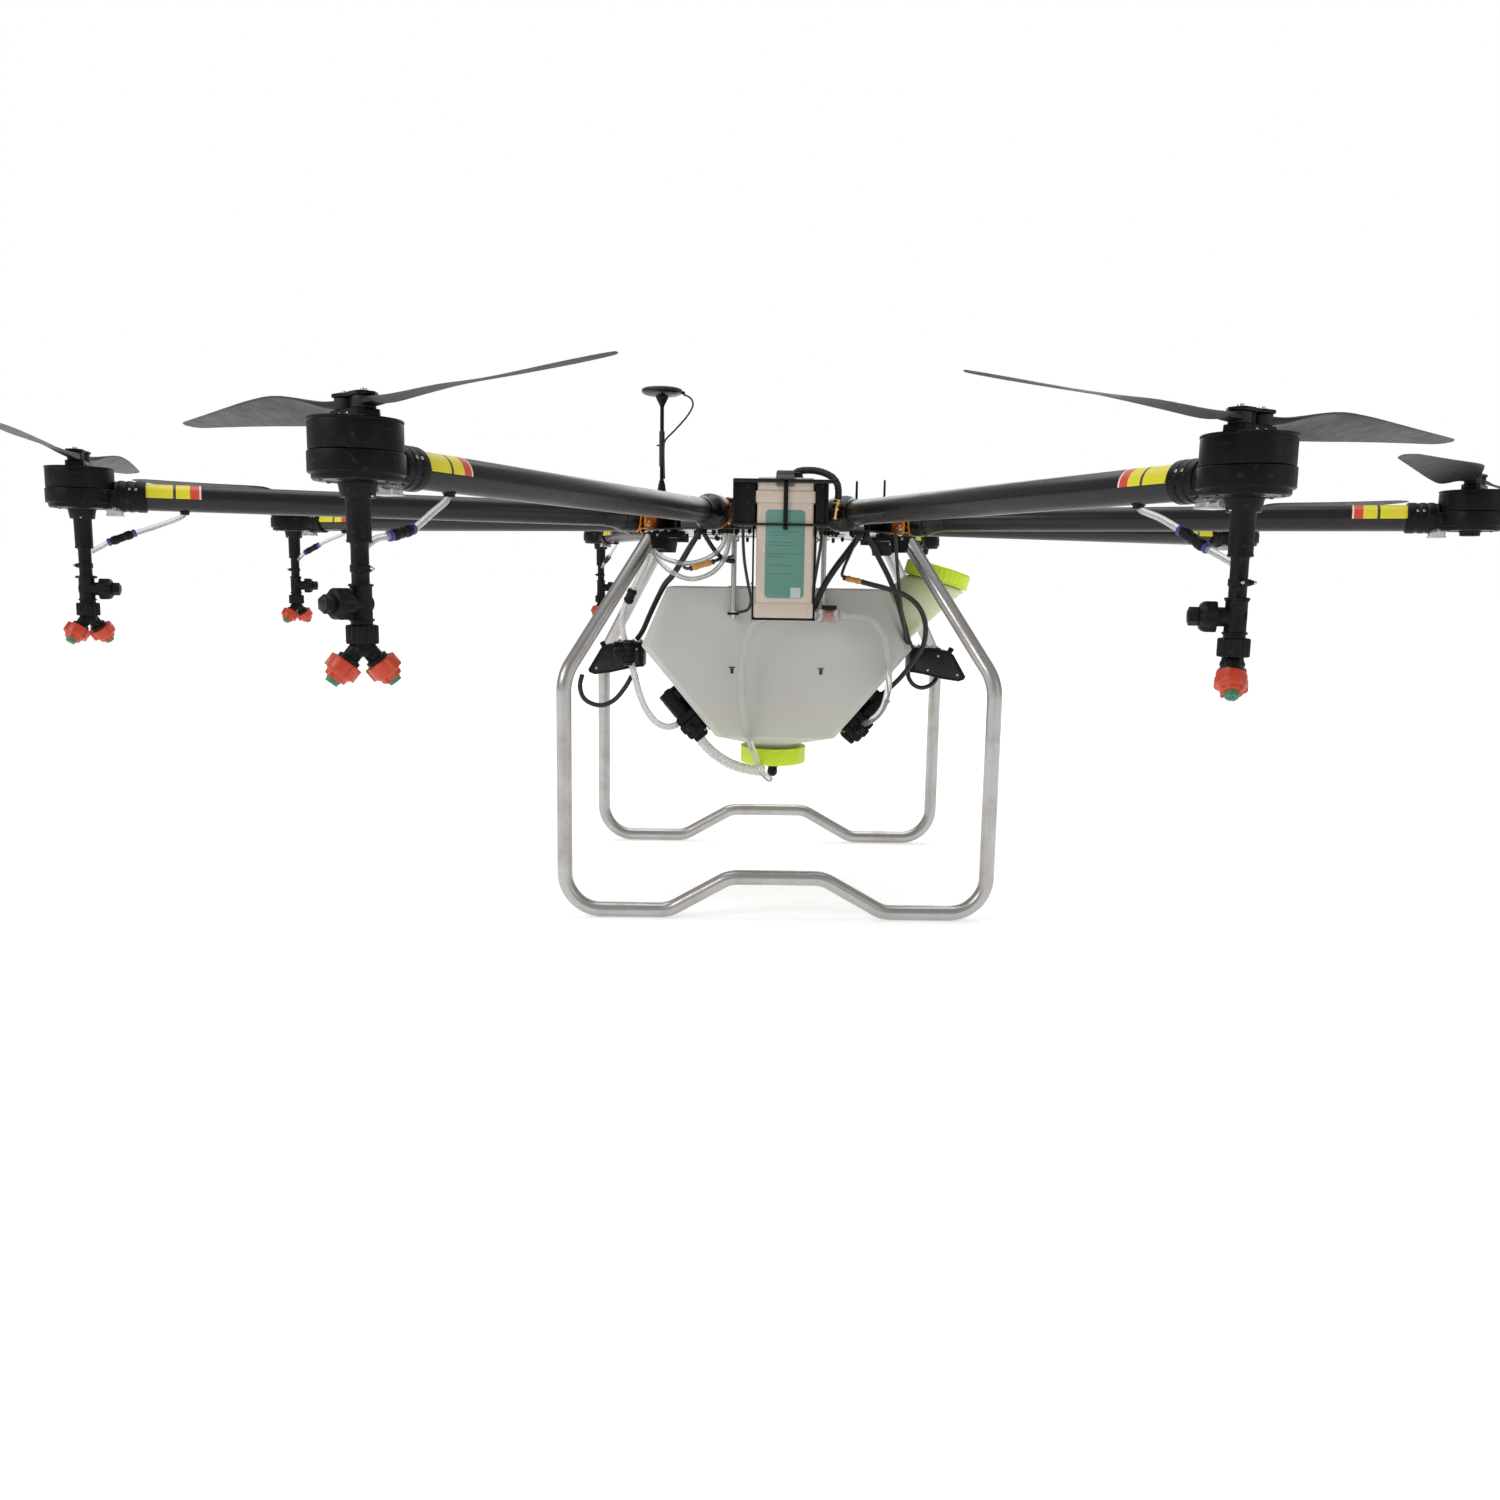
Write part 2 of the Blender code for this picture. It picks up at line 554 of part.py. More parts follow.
def build_pump():
    """Along local X: pump head at +X, mounting plate at -Z."""
    plate = make("plate", lambda bm: box(bm, (-48, 50), (-26, 26), (0.0, 3.0)))
    body = turned("motor", [(0, 54.0), (17.0, 54.0), (19.0, 52.0), (19.0, 0.0), (0, 0.0)], 16, shift(0, 0, 21) @ turn("Y", -90))
    head = make("head", lambda bm: box(bm, (-2, 44), (-27, 27), (2.0, 44.0)))
    ends = make("ends", lambda bm: box(bm, (30, 54), (-17, 17), (9.0, 37.0)))
    port = [make("port", lambda bm, s=s: cylinder(bm, 6.0, 6.0, 0.0, 40.0, 10, shift(24, s * 14, 26) @ turn("X", 90 * s))) for s in (-1, 1)]
    foot = make("foot", lambda bm: box(bm, (-46, -30), (-16, 16), (1.0, 12.0)))
    combine(plate, [body, head, ends, foot] + port)
    return plate


def build_side_unit():
    """Wedge-shaped housing on a flange; +X outwards."""
    outline = [(0.0, 12.0), (46.0, 12.0), (76.0, 4.0), (100.0, -38.0), (88.0, -46.0), (58.0, -42.0), (24.0, -34.0), (0.0, -30.0)]
    wedge = make("wedge", lambda bm: prism(bm, outline, -26.0, 26.0, turn("X", 90)))
    flange = make("flange", lambda bm: box(bm, (-3.0, 1.5), (-34, 34), (-30.0, 12.0)))
    bar = make("bar", lambda bm: box(bm, (-2.0, 52.0), (-30, 30), (11.0, 15.0)))
    combine(wedge, [flange, bar])
    return wedge


def build_gps():
    """Mast with its foot pivot at the origin, puck on top."""
    mast = turned("mast", [(0, 158.0), (3.6, 158.0), (3.6, 4.0), (5.0, 3.0), (5.0, 0.5), (0, 0.5)], 10)
    puck = turned("puck", [(0, 170.5), (30.0, 170.0), (36.0, 167.5), (37.5, 164.0), (36.5, 160.5), (7.0, 155.0), (0, 155.0)], 20)
    combine(mast, [puck])
    return mast


# ---- assembly ---------------------------------------------------------------------------
build_hub()

arm = build_arm()
plain = build_housing(False)
capped = build_housing(True)
rotor = build_rotor()
blades = {True: build_blade(True), False: build_blade(False)}
for mesh_source, mat in ((arm, CARBON), (plain, BLACK_PLASTIC), (capped, BLACK_PLASTIC), (rotor, MOTOR_BLACK), (blades[True], BLADE_GREY), (blades[False], BLADE_GREY)):
    mesh_source.data.materials.append(mat)
    mesh_source.data.shade_smooth()
    mesh_source.data.set_sharp_from_angle(angle=math.radians(35))

for number, azimuth in ARM_AZIMUTH.items():
    x, y = polar(HINGE_RADIUS, azimuth)
    copy_of(arm, f"arm_tube_{number}", (x, y, HINGE_Z), azimuth)
    x, y = polar(MOTOR_RADIUS, azimuth)
    copy_of(plain if number in NOZZLE_ARMS else capped, f"motor_housing_{number}", (x, y, ARM_Z), azimuth)
    copy_of(rotor, f"rotor_{number}", (x, y, PROP_Z), ROTOR_AZIMUTH[number])
    for letter, turn_by in (("a", 0.0), ("b", 180.0)):
        way = ROTOR_AZIMUTH[number] + turn_by
        px, py = polar(PROP_PIVOT, way)
        copy_of(blades[TURNS_CCW[number]], f"blade_{number}{letter}", (x + px, y + py, PROP_Z), way)
    if number in NOZZLE_ARMS:
        nozzle = build_nozzle(SPLIT_AZIMUTH[number], KNOB_AZIMUTH[number])
        finish(nozzle, f"nozzle_{number}", ORANGE_CAP, (x, y, 0.0))
for mesh_source in (arm, plain, capped, rotor, blades[True], blades[False]):
    bpy.data.objects.remove(mesh_source, do_unlink=True)

finish(build_gear(True), "landing_gear_front", ALUMINIUM, (PAYLOAD_X, 0, 0))
finish(build_gear(False), "landing_gear_rear", ALUMINIUM, (PAYLOAD_X, 0, 0))
finish(build_tank(), "spray_tank", TANK_WHITE, (PAYLOAD_X, 0, 0))

filler_cap = build_cap(61.0, 51.2, 28.0, 4.0)
finish(filler_cap, "filler_cap", LIME)
filler_cap.rotation_euler = (0.0, math.radians(FILLER_TILT), 0.0)
seat = FILLER_PLACE @ Vector((0.0, 0.0, 0.6))
filler_cap.location = ((HUB_X + PAYLOAD_X + seat.x) * MM, (HUB_Y + seat.y) * MM, seat.z * MM)

drain_cap = build_cap(62.0, 50.0, 32.0, 5.0)
elbow = turned("elbow", [(0, 24.0), (7.5, 24.0), (8.5, 20.0), (8.5, 12.0), (11.0, 11.0), (11.0, 0.0), (0, 0.0)], 12, shift(0, 0, 3.0))
elbow_arm = make("elbow_arm", lambda bm: cylinder(bm, 6.5, 6.5, 0.0, 20.0, 12, shift(0, 0, 18) @ turn("X", 62)))
combine(drain_cap, [elbow, elbow_arm])
drain_cap.data.transform(Matrix.Rotation(math.pi, 4, "X"))
finish(drain_cap, "drain_cap", LIME, (PAYLOAD_X, 0, DRAIN_NECK[1] - 0.6))

finish(build_tray(), "battery_holder", BLACK_PLASTIC, (PAYLOAD_X + 2, 0, 0))

w, d, h = BATTERY


def battery_shape(bm):
    box(bm, (-w / 2, w / 2), (BATTERY_FRONT_Y, BATTERY_FRONT_Y + d), (BATTERY_BASE_Z, BATTERY_BASE_Z + h))


battery = make("battery", battery_shape)
soften = battery.modifiers.new("Edges", "BEVEL")
soften.width = 0.003
soften.segments = 1
bake(battery)
finish(battery, "battery", BATTERY_CREAM, (PAYLOAD_X + 2, 0, 0))

# pumps lie on the tank's lower slopes, heads downwards
slope = math.degrees(math.atan2(TANK_BELT[1] - TANK_FLOOR[1], TANK_BELT[0] - TANK_FLOOR[0]))
normal = Vector((math.sin(math.radians(slope)), 0, -math.cos(math.radians(slope))))
middle = Vector(((TANK_BELT[0] + TANK_FLOOR[0]) / 2 - 3.0, -60.0, (TANK_BELT[1] + TANK_FLOOR[1]) / 2 - 36.0))
middle = Vector((TANK_FLOOR[0] + (TANK_BELT[0] - TANK_FLOOR[0]) * 0.30, -60.0, TANK_FLOOR[1] + (TANK_BELT[1] - TANK_FLOOR[1]) * 0.30))
pump = build_pump()
for name, side in (("pump_left", -1), ("pump_right", 1)):
    down = Vector((-side * math.cos(math.radians(slope)), 0, -math.sin(math.radians(slope))))
    out = Vector((side * normal.x, 0, normal.z))
    across = out.cross(down)
    frame = Matrix((down, across, out)).transposed().to_4x4()
    place = Vector((side * middle.x, middle.y, middle.z)) + out * 0.8
    made = bpy.data.objects.new(name, pump.data)
    CUTTERS.objects.link(made)
    finish(made, name, BLACK_PLASTIC)
    made.matrix_world = Matrix.Translation(Vector((HUB_X + PAYLOAD_X + place.x, HUB_Y + place.y, place.z)) * MM) @ frame
bpy.data.objects.remove(pump, do_unlink=True)

unit = build_side_unit()
for name, azimuth, side in (("side_unit_left", 180.0, -1), ("side_unit_right", 0.0, 1)):
    made = bpy.data.objects.new(name, unit.data)
    CUTTERS.objects.link(made)
    finish(made, name, BLACK_PLASTIC, (PAYLOAD_X + side * (TANK_BELT[0] + 3.6), -20.0 if side < 0 else -60.0, 434.0), azimuth)
bpy.data.objects.remove(unit, do_unlink=True)

finish(build_gps(), "gps_mast", BLACK_PLASTIC, (-207.0, 4.0, 741.0))
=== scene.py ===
"""Looks of the eight-rotor agricultural spray drone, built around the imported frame.

Lengths in the helpers are millimetres; points are given from the hub axis, with the
ground at z = 0. Everything is placed from the frame's joints and boxes."""

import json
import math

import bmesh
import bpy
from mathutils import Matrix, Vector


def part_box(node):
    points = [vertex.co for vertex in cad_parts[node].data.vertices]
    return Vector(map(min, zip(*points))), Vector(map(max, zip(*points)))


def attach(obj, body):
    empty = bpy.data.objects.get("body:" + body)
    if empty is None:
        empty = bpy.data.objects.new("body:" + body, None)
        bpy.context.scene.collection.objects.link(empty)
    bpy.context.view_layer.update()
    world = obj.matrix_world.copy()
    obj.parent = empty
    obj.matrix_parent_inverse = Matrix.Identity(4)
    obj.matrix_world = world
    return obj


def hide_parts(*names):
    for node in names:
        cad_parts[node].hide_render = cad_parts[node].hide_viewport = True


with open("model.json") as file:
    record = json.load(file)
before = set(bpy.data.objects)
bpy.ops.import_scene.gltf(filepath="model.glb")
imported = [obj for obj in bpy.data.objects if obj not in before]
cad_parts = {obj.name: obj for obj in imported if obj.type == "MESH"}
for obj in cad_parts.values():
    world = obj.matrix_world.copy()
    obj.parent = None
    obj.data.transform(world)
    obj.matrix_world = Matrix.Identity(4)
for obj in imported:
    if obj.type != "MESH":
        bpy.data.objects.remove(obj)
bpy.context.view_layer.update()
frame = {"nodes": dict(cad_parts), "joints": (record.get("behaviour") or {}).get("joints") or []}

MM = 0.001
JOINTS = {j["name"]: j for j in frame["joints"]}
ARMS = range(1, 9)
FOLDS = {n: JOINTS[f"arm_fold_{n}"] for n in ARMS}
HUB = Vector((sum(FOLDS[n]["pos_m"][0] for n in ARMS) / 8, sum(FOLDS[n]["pos_m"][1] for n in ARMS) / 8, 0.0))
AZIMUTH = {n: math.degrees(math.atan2(-FOLDS[n]["axis"][0], FOLDS[n]["axis"][1])) for n in ARMS}
MOTOR = {n: Vector(JOINTS[f"rotor_spin_{n}"]["pos_m"]) for n in ARMS}
MOTOR_R = (Vector((MOTOR[1].x, MOTOR[1].y, 0.0)) - HUB).length / MM
PROP_Z = MOTOR[1].z / MM
HINGE_R = (Vector((*FOLDS[1]["pos_m"][:2], 0.0)) - HUB).length / MM
HINGE_Z = FOLDS[1]["pos_m"][2] / MM
TUBE_Z = (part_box("arm_tube_1")[0].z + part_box("arm_tube_1")[1].z) / 2 / MM
WITH_NOZZLE = [n for n in ARMS if f"nozzle_{n}" in frame["nodes"]]
GEAR = [(c - HUB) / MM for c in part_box("landing_gear_front")]
PAYLOAD = (GEAR[0].x + GEAR[1].x) / 2
BATTERY = [(c - HUB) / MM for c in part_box("battery")]


def blade_way(n, letter):
    pivot = Vector(JOINTS[f"blade_fold_{n}{letter}"]["pos_m"]) - MOTOR[n]
    return math.degrees(math.atan2(pivot.y, pivot.x))


# ---- matrices ---------------------------------------------------------------------------
def turn(axis, degrees):
    return Matrix.Rotation(math.radians(degrees), 4, axis)


def shift(x=0.0, y=0.0, z=0.0):
    return Matrix.Translation((x, y, z))


def at(x, y, z, azimuth=0.0):
    """Object matrix, in metres, for a place in mm from the hub axis."""
    return Matrix.Translation(HUB + Vector((x, y, z)) * MM) @ turn("Z", azimuth)


def aim(start, end):
    """Matrix in mm whose Z runs from start to end."""
    way = Vector(end) - Vector(start)
    return Matrix.Translation(Vector(start)) @ way.to_track_quat("Z", "Y").to_matrix().to_4x4()


# ---- camera -----------------------------------------------------------------------------
def add_camera():
    yaw, pitch, roll, focal = 0.0122, -0.1446, 0.0158, 1178.0
    ahead = Vector((math.sin(yaw) * math.cos(pitch), math.cos(yaw) * math.cos(pitch), math.sin(pitch)))
    side = Vector((math.cos(yaw), -math.sin(yaw), 0.0))
    up = side.cross(ahead)
    right = side * math.cos(roll) + up * math.sin(roll)
    top = -side * math.sin(roll) + up * math.cos(roll)
    data = bpy.data.cameras.new("camera")
    data.sensor_width = 36.0
    data.lens = focal / 1500.0 * 36.0
    data.clip_end = 200.0
    camera = bpy.data.objects.new("camera", data)
    bpy.context.scene.collection.objects.link(camera)
    camera.matrix_world = Matrix.Translation(HUB + Vector((-62.97, -2228.27, 568.46)) * MM) @ Matrix((right, top, -ahead)).transposed().to_4x4()
    bpy.context.scene.camera = camera


add_camera()


# ---- materials --------------------------------------------------------------------------
class Nodes:
    """A short way to write a node material."""

    def __init__(self, name):
        self.material = bpy.data.materials.new(name)
        self.material.use_nodes = True
        self.tree = self.material.node_tree
        self.shader = self.tree.nodes["Principled BSDF"]
        self.place = self.tree.nodes.new("ShaderNodeTexCoord").outputs["Object"]

    def node(self, kind, **values):
        made = self.tree.nodes.new("ShaderNode" + kind)
        for key, value in values.items():
            if hasattr(made, key):
                setattr(made, key, value)
            else:
                self.feed(made.inputs[key.replace("_", " ")], value)
        return made

    def feed(self, socket, value):
        if isinstance(value, bpy.types.NodeSocket):
            self.tree.links.new(value, socket)
        elif isinstance(value, tuple) and socket.type == "RGBA" and len(value) == 3:
            socket.default_value = (*value, 1.0)
        else:
            socket.default_value = value

    def stretch(self, x, y, z, source=None):
        made = self.node("Mapping")
        self.feed(made.inputs["Vector"], source or self.place)
        made.inputs["Scale"].default_value = (x, y, z)
        return made.outputs["Vector"]

    def noise(self, scale, detail=3.0, rough=0.55, where=None, distortion=0.0):
        made = self.node("TexNoise", Scale=scale, Detail=detail, Roughness=rough, Distortion=distortion)
        self.feed(made.inputs["Vector"], where or self.place)
        return made.outputs["Fac"]

    def spread(self, value, low, high, out_low=0.0, out_high=1.0):
        made = self.node("MapRange")
        self.feed(made.inputs["Value"], value)
        for key, number in (("From Min", low), ("From Max", high), ("To Min", out_low), ("To Max", out_high)):
            made.inputs[key].default_value = number
        return made.outputs["Result"]

    def sum(self, a, b, operation="ADD"):
        made = self.node("Math", operation=operation)
        self.feed(made.inputs[0], a)
        self.feed(made.inputs[1], b)
        return made.outputs["Value"]

    def mix(self, factor, a, b, blend="MIX"):
        made = self.node("Mix", data_type="RGBA", blend_type=blend)
        self.feed(made.inputs["Factor"], factor)
        self.feed([s for s in made.inputs if s.name == "A" and s.type == "RGBA"][0], a)
        self.feed([s for s in made.inputs if s.name == "B" and s.type == "RGBA"][0], b)
        return [s for s in made.outputs if s.type == "RGBA"][0]

    def bump(self, height, distance, strength=1.0, under=None):
        made = self.node("Bump", Strength=strength, Distance=distance)
        self.feed(made.inputs["Height"], height)
        if under:
            self.feed(made.inputs["Normal"], under)
        return made.outputs["Normal"]

    def set(self, **values):
        for key, value in values.items():
            self.feed(self.shader.inputs[key.replace("_", " ")], value)
        return self.material


def shade(colour, by):
    return tuple(min(1.0, max(0.0, c * by)) for c in colour)


def surface(name, colour, rough, metallic=0.0, vary=0.12, grain=900.0, bump=0.00004, dust=0.0, scuff=0.0, **extra):
    """Moulded or cast surface: cloudy colour, uneven gloss, fine texture, a little dust and scuffing."""
    n = Nodes(name)
    cloud = n.spread(n.noise(9.0, 4.0), 0.3, 0.7)
    base = n.mix(cloud, shade(colour, 1.0 - vary), shade(colour, 1.0 + vary))
    if dust:
        up = n.node("SeparateXYZ")
        n.feed(up.inputs[0], n.node("NewGeometry").outputs["Normal"])
        settled = n.sum(n.spread(up.outputs["Z"], 0.3, 1.0, 0.0, dust), n.spread(n.noise(35.0, 5.0), 0.35, 0.75), "MULTIPLY")
        base = n.mix(settled, base, (0.42, 0.39, 0.34))
    worn = n.noise(60.0, 6.0, 0.7)
    gloss = n.spread(worn, 0.3, 0.7, max(0.02, rough - 0.07), min(1.0, rough + 0.09))
    if scuff:
        streak = n.spread(n.noise(220.0, 2.0, 0.5, n.stretch(1.0, 0.08, 1.0), 0.4), 0.62, 0.7, 0.0, scuff)
        base = n.mix(streak, base, shade(tuple(max(c, 0.12) for c in colour), 2.2))
        gloss = n.sum(gloss, n.sum(streak, 0.25, "MULTIPLY"))
    fine = n.noise(grain, 2.0, 0.6)
    return n.set(Base_Color=base, Roughness=gloss, Metallic=metallic, Normal=n.bump(fine, bump, 0.6), **extra)


def carbon(name, rough, coat, along="X", tow=3.2):
    """Twill carbon cloth under resin, in the object's own coordinates. along X wraps the cloth round a tube."""
    n = Nodes(name)
    split = n.node("SeparateXYZ")
    n.feed(split.inputs[0], n.place)
    if along == "X":
        angle = n.node("Math", operation="ARCTAN2")
        n.feed(angle.inputs[0], n.sum(split.outputs["Z"], -0.015))
        n.feed(angle.inputs[1], split.outputs["Y"])
        u, v = n.sum(split.outputs["X"], 1000.0 / tow, "MULTIPLY"), n.sum(angle.outputs[0], 20.0 / tow, "MULTIPLY")
    else:
        u, v = (n.sum(split.outputs[k], 1000.0 / tow, "MULTIPLY") for k in "XY")
    a, b = n.sum(u, v), n.sum(u, v, "SUBTRACT")
    wave_a, wave_b = (n.node("Math", operation="SINE") for _ in range(2))
    n.feed(wave_a.inputs[0], n.sum(a, math.pi, "MULTIPLY"))
    n.feed(wave_b.inputs[0], n.sum(b, math.pi, "MULTIPLY"))
    weave = n.spread(n.sum(wave_a.outputs[0], wave_b.outputs[0], "MULTIPLY"), -0.25, 0.25)
    thread = n.noise(700.0, 2.0, 0.5, n.stretch(1.0, 0.2, 1.0))
    base = n.mix(weave, (0.0035, 0.0037, 0.0042), (0.0085, 0.0088, 0.0095))
    base = n.mix(n.spread(n.noise(5.0, 3.0), 0.35, 0.7, 0.0, 0.3), base, (0.012, 0.012, 0.012))
    gloss = n.sum(n.spread(weave, 0.0, 1.0, rough - 0.05, rough + 0.05), n.spread(n.noise(40.0, 5.0), 0.3, 0.8, -0.03, 0.06))
    normal = n.bump(thread, 0.00002, 0.4, n.bump(weave, 0.00003, 0.35))
    return n.set(Base_Color=base, Roughness=gloss, Normal=normal, Coat_Weight=coat, Coat_Roughness=0.16, Specular_IOR_Level=0.3)


def drawn_metal(name, colour, rough, stain=0.3, axis_scale=(1.0, 1.0, 0.03), aniso=0.0):
    """Drawn or brushed metal: fine lines, cloudy oxide and small dark pits."""
    n = Nodes(name)
    lines = n.noise(900.0, 3.0, 0.6, n.stretch(*axis_scale))
    cloud = n.noise(14.0, 6.0, 0.65)
    oxide = n.spread(cloud, 0.45, 0.75, 0.0, stain)
    base = n.mix(oxide, colour, (colour[0] * 0.70, colour[1] * 0.60, colour[2] * 0.52))
    pits = n.spread(n.noise(120.0, 2.0, 0.5), 0.70, 0.76, 0.0, 0.6)
    base = n.mix(pits, base, shade(colour, 0.35))
    gloss = n.sum(n.spread(lines, 0.3, 0.7, rough - 0.06, rough + 0.08), n.sum(oxide, 0.25, "MULTIPLY"))
    return n.set(Base_Color=base, Roughness=gloss, Metallic=1.0, Normal=n.bump(lines, 0.00002, 0.35), Anisotropic=aniso)


def see_through(name, colour, rough, clear, alpha=1.0):
    """Clear or milky plastic with faint haze and flow lines."""
    n = Nodes(name)
    haze = n.noise(50.0, 4.0)
    base = n.mix(n.spread(haze, 0.3, 0.7), shade(colour, 0.94), colour)
    gloss = n.spread(n.noise(90.0, 3.0), 0.3, 0.7, rough, rough + 0.08)
    return n.set(Base_Color=base, Roughness=gloss, Transmission_Weight=clear, IOR=1.35, Alpha=alpha, Normal=n.bump(haze, 0.00005, 0.3))


def tank_plastic():
    """Blow-moulded milky polyethylene: soft, slightly blotchy, a faint greenish cast low down and mould texture."""
    n = Nodes("tank_polyethylene")
    split = n.node("SeparateXYZ")
    n.feed(split.inputs[0], n.place)
    low = n.spread(split.outputs["Z"], 0.24, 0.36, 1.0, 0.0)
    cloud = n.spread(n.noise(3.5, 4.0, 0.5), 0.3, 0.7)
    base = n.mix(cloud, (0.47, 0.458, 0.425), (0.545, 0.535, 0.505))
    base = n.mix(n.sum(low, 0.35, "MULTIPLY"), base, (0.56, 0.59, 0.40))
    fine = n.noise(260.0, 3.0, 0.6)
    wavy = n.noise(7.0, 2.0, 0.4)
    normal = n.bump(fine, 0.00005, 0.35, n.bump(wavy, 0.004, 0.12))
    n.shader.subsurface_method = "RANDOM_WALK"
    return n.set(Base_Color=base, Roughness=n.spread(n.noise(30.0, 4.0), 0.3, 0.7, 0.38, 0.52), Normal=normal,
                 Subsurface_Weight=0.25, Subsurface_Radius=(0.02, 0.02, 0.017), Subsurface_Scale=0.6, Specular_IOR_Level=0.35)


def ruled_label():
    """Teal label with plain rules and an empty square: no lettering."""
    n = Nodes("label_teal")
    split = n.node("SeparateXYZ")
    n.feed(split.inputs[0], n.place)
    x, z = split.outputs["X"], n.sum(split.outputs["Z"], -0.607)
    base = n.mix(n.spread(n.noise(12.0, 3.0), 0.3, 0.7), (0.085, 0.215, 0.175), (0.11, 0.25, 0.205))

    def inside(value, low, high):
        return n.sum(n.sum(value, low, "GREATER_THAN"), n.sum(value, high, "LESS_THAN"), "MULTIPLY")

    for low, high, left, right in ((0.0745, 0.0775, -0.012, 0.012), (0.047, 0.0484, -0.026, 0.018), (0.034, 0.0354, -0.026, 0.024), (0.029, 0.0304, -0.026, 0.004),
                                   (0.018, 0.0194, -0.026, 0.012), (0.013, 0.0144, -0.026, 0.020), (0.0, 0.0014, -0.026, 0.022), (-0.005, -0.0036, -0.026, 0.002),
                                   (-0.018, -0.0166, -0.026, 0.016), (-0.031, -0.0296, -0.026, 0.010)):
        rule = n.sum(inside(x, left, right), inside(z, low, high), "MULTIPLY")
        base = n.mix(n.sum(rule, 0.55, "MULTIPLY"), base, (0.03, 0.085, 0.075))
    patch = n.sum(inside(x, 0.010, 0.026), inside(z, -0.068, -0.052), "MULTIPLY")
    base = n.mix(n.sum(patch, 0.8, "MULTIPLY"), base, (0.50, 0.55, 0.53))
    return n.set(Base_Color=base, Roughness=n.spread(n.noise(60.0, 4.0), 0.3, 0.7, 0.32, 0.45), Normal=n.bump(n.noise(300.0, 2.0), 0.00003, 0.4))


def sticker(name, colour, mark, low, high, axis="X"):
    """Vinyl sticker with one plain bar, slightly rubbed."""
    n = Nodes(name)
    split = n.node("SeparateXYZ")
    n.feed(split.inputs[0], n.place)
    value = split.outputs[axis]
    bar = n.sum(n.sum(value, low, "GREATER_THAN"), n.sum(value, high, "LESS_THAN"), "MULTIPLY")
    base = n.mix(n.spread(n.noise(25.0, 5.0), 0.3, 0.7), shade(colour, 0.9), colour)
    base = n.mix(bar, base, mark)
    rubbed = n.spread(n.noise(150.0, 5.0, 0.7), 0.66, 0.72, 0.0, 0.5)
    base = n.mix(rubbed, base, shade(colour, 0.55))
    return n.set(Base_Color=base, Roughness=n.spread(n.noise(80.0, 3.0), 0.3, 0.7, 0.28, 0.42), Normal=n.bump(n.noise(500.0, 2.0), 0.00002, 0.3))


def braided(name, colour):
    """Braided or spiral cable sleeve: crossing strands, with a few bright flecks painted in as glints of light."""
    n = Nodes(name)
    voronoi = n.node("TexVoronoi", Scale=620.0)
    n.feed(voronoi.inputs["Vector"], n.place)
    cell = voronoi.outputs["Distance"]
    base = n.mix(n.spread(cell, 0.1, 0.6), shade(colour, 1.5), shade(colour, 0.5))
    # painted glint: a few bright grey flecks in the base colour stand in for the sparkle of light on the strands
    painted_glint = n.spread(n.noise(420.0, 2.0, 0.5), 0.66, 0.7, 0.0, 0.35)
    base = n.mix(painted_glint, base, (0.16, 0.16, 0.16))
    return n.set(Base_Color=base, Roughness=n.spread(cell, 0.0, 0.7, 0.42, 0.62), Normal=n.bump(cell, 0.00018, 0.7))


CARBON_TUBE = carbon("carbon_tube", 0.33, 0.12)
CARBON_PLATE = carbon("carbon_plate", 0.25, 0.5, along="plate")
BLACK = surface("black_moulding", (0.0042, 0.0042, 0.0044), 0.46, scuff=0.05, dust=0.02, Specular_IOR_Level=0.17)
BLACK_SATIN = surface("black_satin", (0.0045, 0.0045, 0.0048), 0.30, scuff=0.04, bump=0.00002, Specular_IOR_Level=0.32)
BLACK_ANODISED = drawn_metal("black_anodised", (0.017, 0.017, 0.019), 0.38, stain=0.1)
MOTOR_BLACK = surface("motor_black", (0.0036, 0.0036, 0.0037), 0.38, scuff=0.05, bump=0.00002, dust=0.015, Specular_IOR_Level=0.14)
BLADE = surface("blade_composite", (0.0095, 0.0095, 0.010), 0.46, vary=0.08, scuff=0.04, bump=0.00002, dust=0.02, Specular_IOR_Level=0.3)
ORANGE_METAL = drawn_metal("orange_anodised", (0.68, 0.22, 0.025), 0.30, stain=0.25)
ALUMINIUM = drawn_metal("drawn_aluminium", (0.46, 0.45, 0.44), 0.30, stain=0.6, aniso=0.3)
ROD = drawn_metal("zinc_rod", (0.45, 0.44, 0.42), 0.30, stain=0.2)
STEEL = drawn_metal("screw_steel", (0.60, 0.59, 0.57), 0.26, stain=0.15, axis_scale=(1.0, 1.0, 1.0))
BRASS = drawn_metal("brass", (0.72, 0.46, 0.20), 0.24, stain=0.2, axis_scale=(1.0, 1.0, 1.0))
TANK = tank_plastic()
LIME = surface("lime_cap", (0.60, 0.80, 0.012), 0.33, vary=0.05, grain=500.0, bump=0.00003, Subsurface_Weight=0.15, Subsurface_Radius=(0.01, 0.012, 0.002), Subsurface_Scale=0.3)
CREAM = surface("battery_case", (0.52, 0.435, 0.355), 0.42, vary=0.05, scuff=0.15, grain=500.0)
CREAM_DARK = surface("battery_trim", (0.44, 0.36, 0.285), 0.45, vary=0.05, scuff=0.12, grain=500.0)
LABEL = ruled_label()
VELCRO = surface("hook_and_loop", (0.12, 0.125, 0.115), 0.95, vary=0.35, grain=1500.0, bump=0.0004)
ORANGE_CAP = surface("nozzle_orange", (0.50, 0.042, 0.009), 0.36, vary=0.07, grain=500.0, Subsurface_Weight=0.08, Subsurface_Radius=(0.006, 0.002, 0.001), Subsurface_Scale=0.3)
GREEN_TIP = surface("nozzle_green", (0.03, 0.17, 0.085), 0.45, vary=0.1)
NAVY = surface("collar_navy", (0.035, 0.035, 0.22), 0.35, vary=0.1)
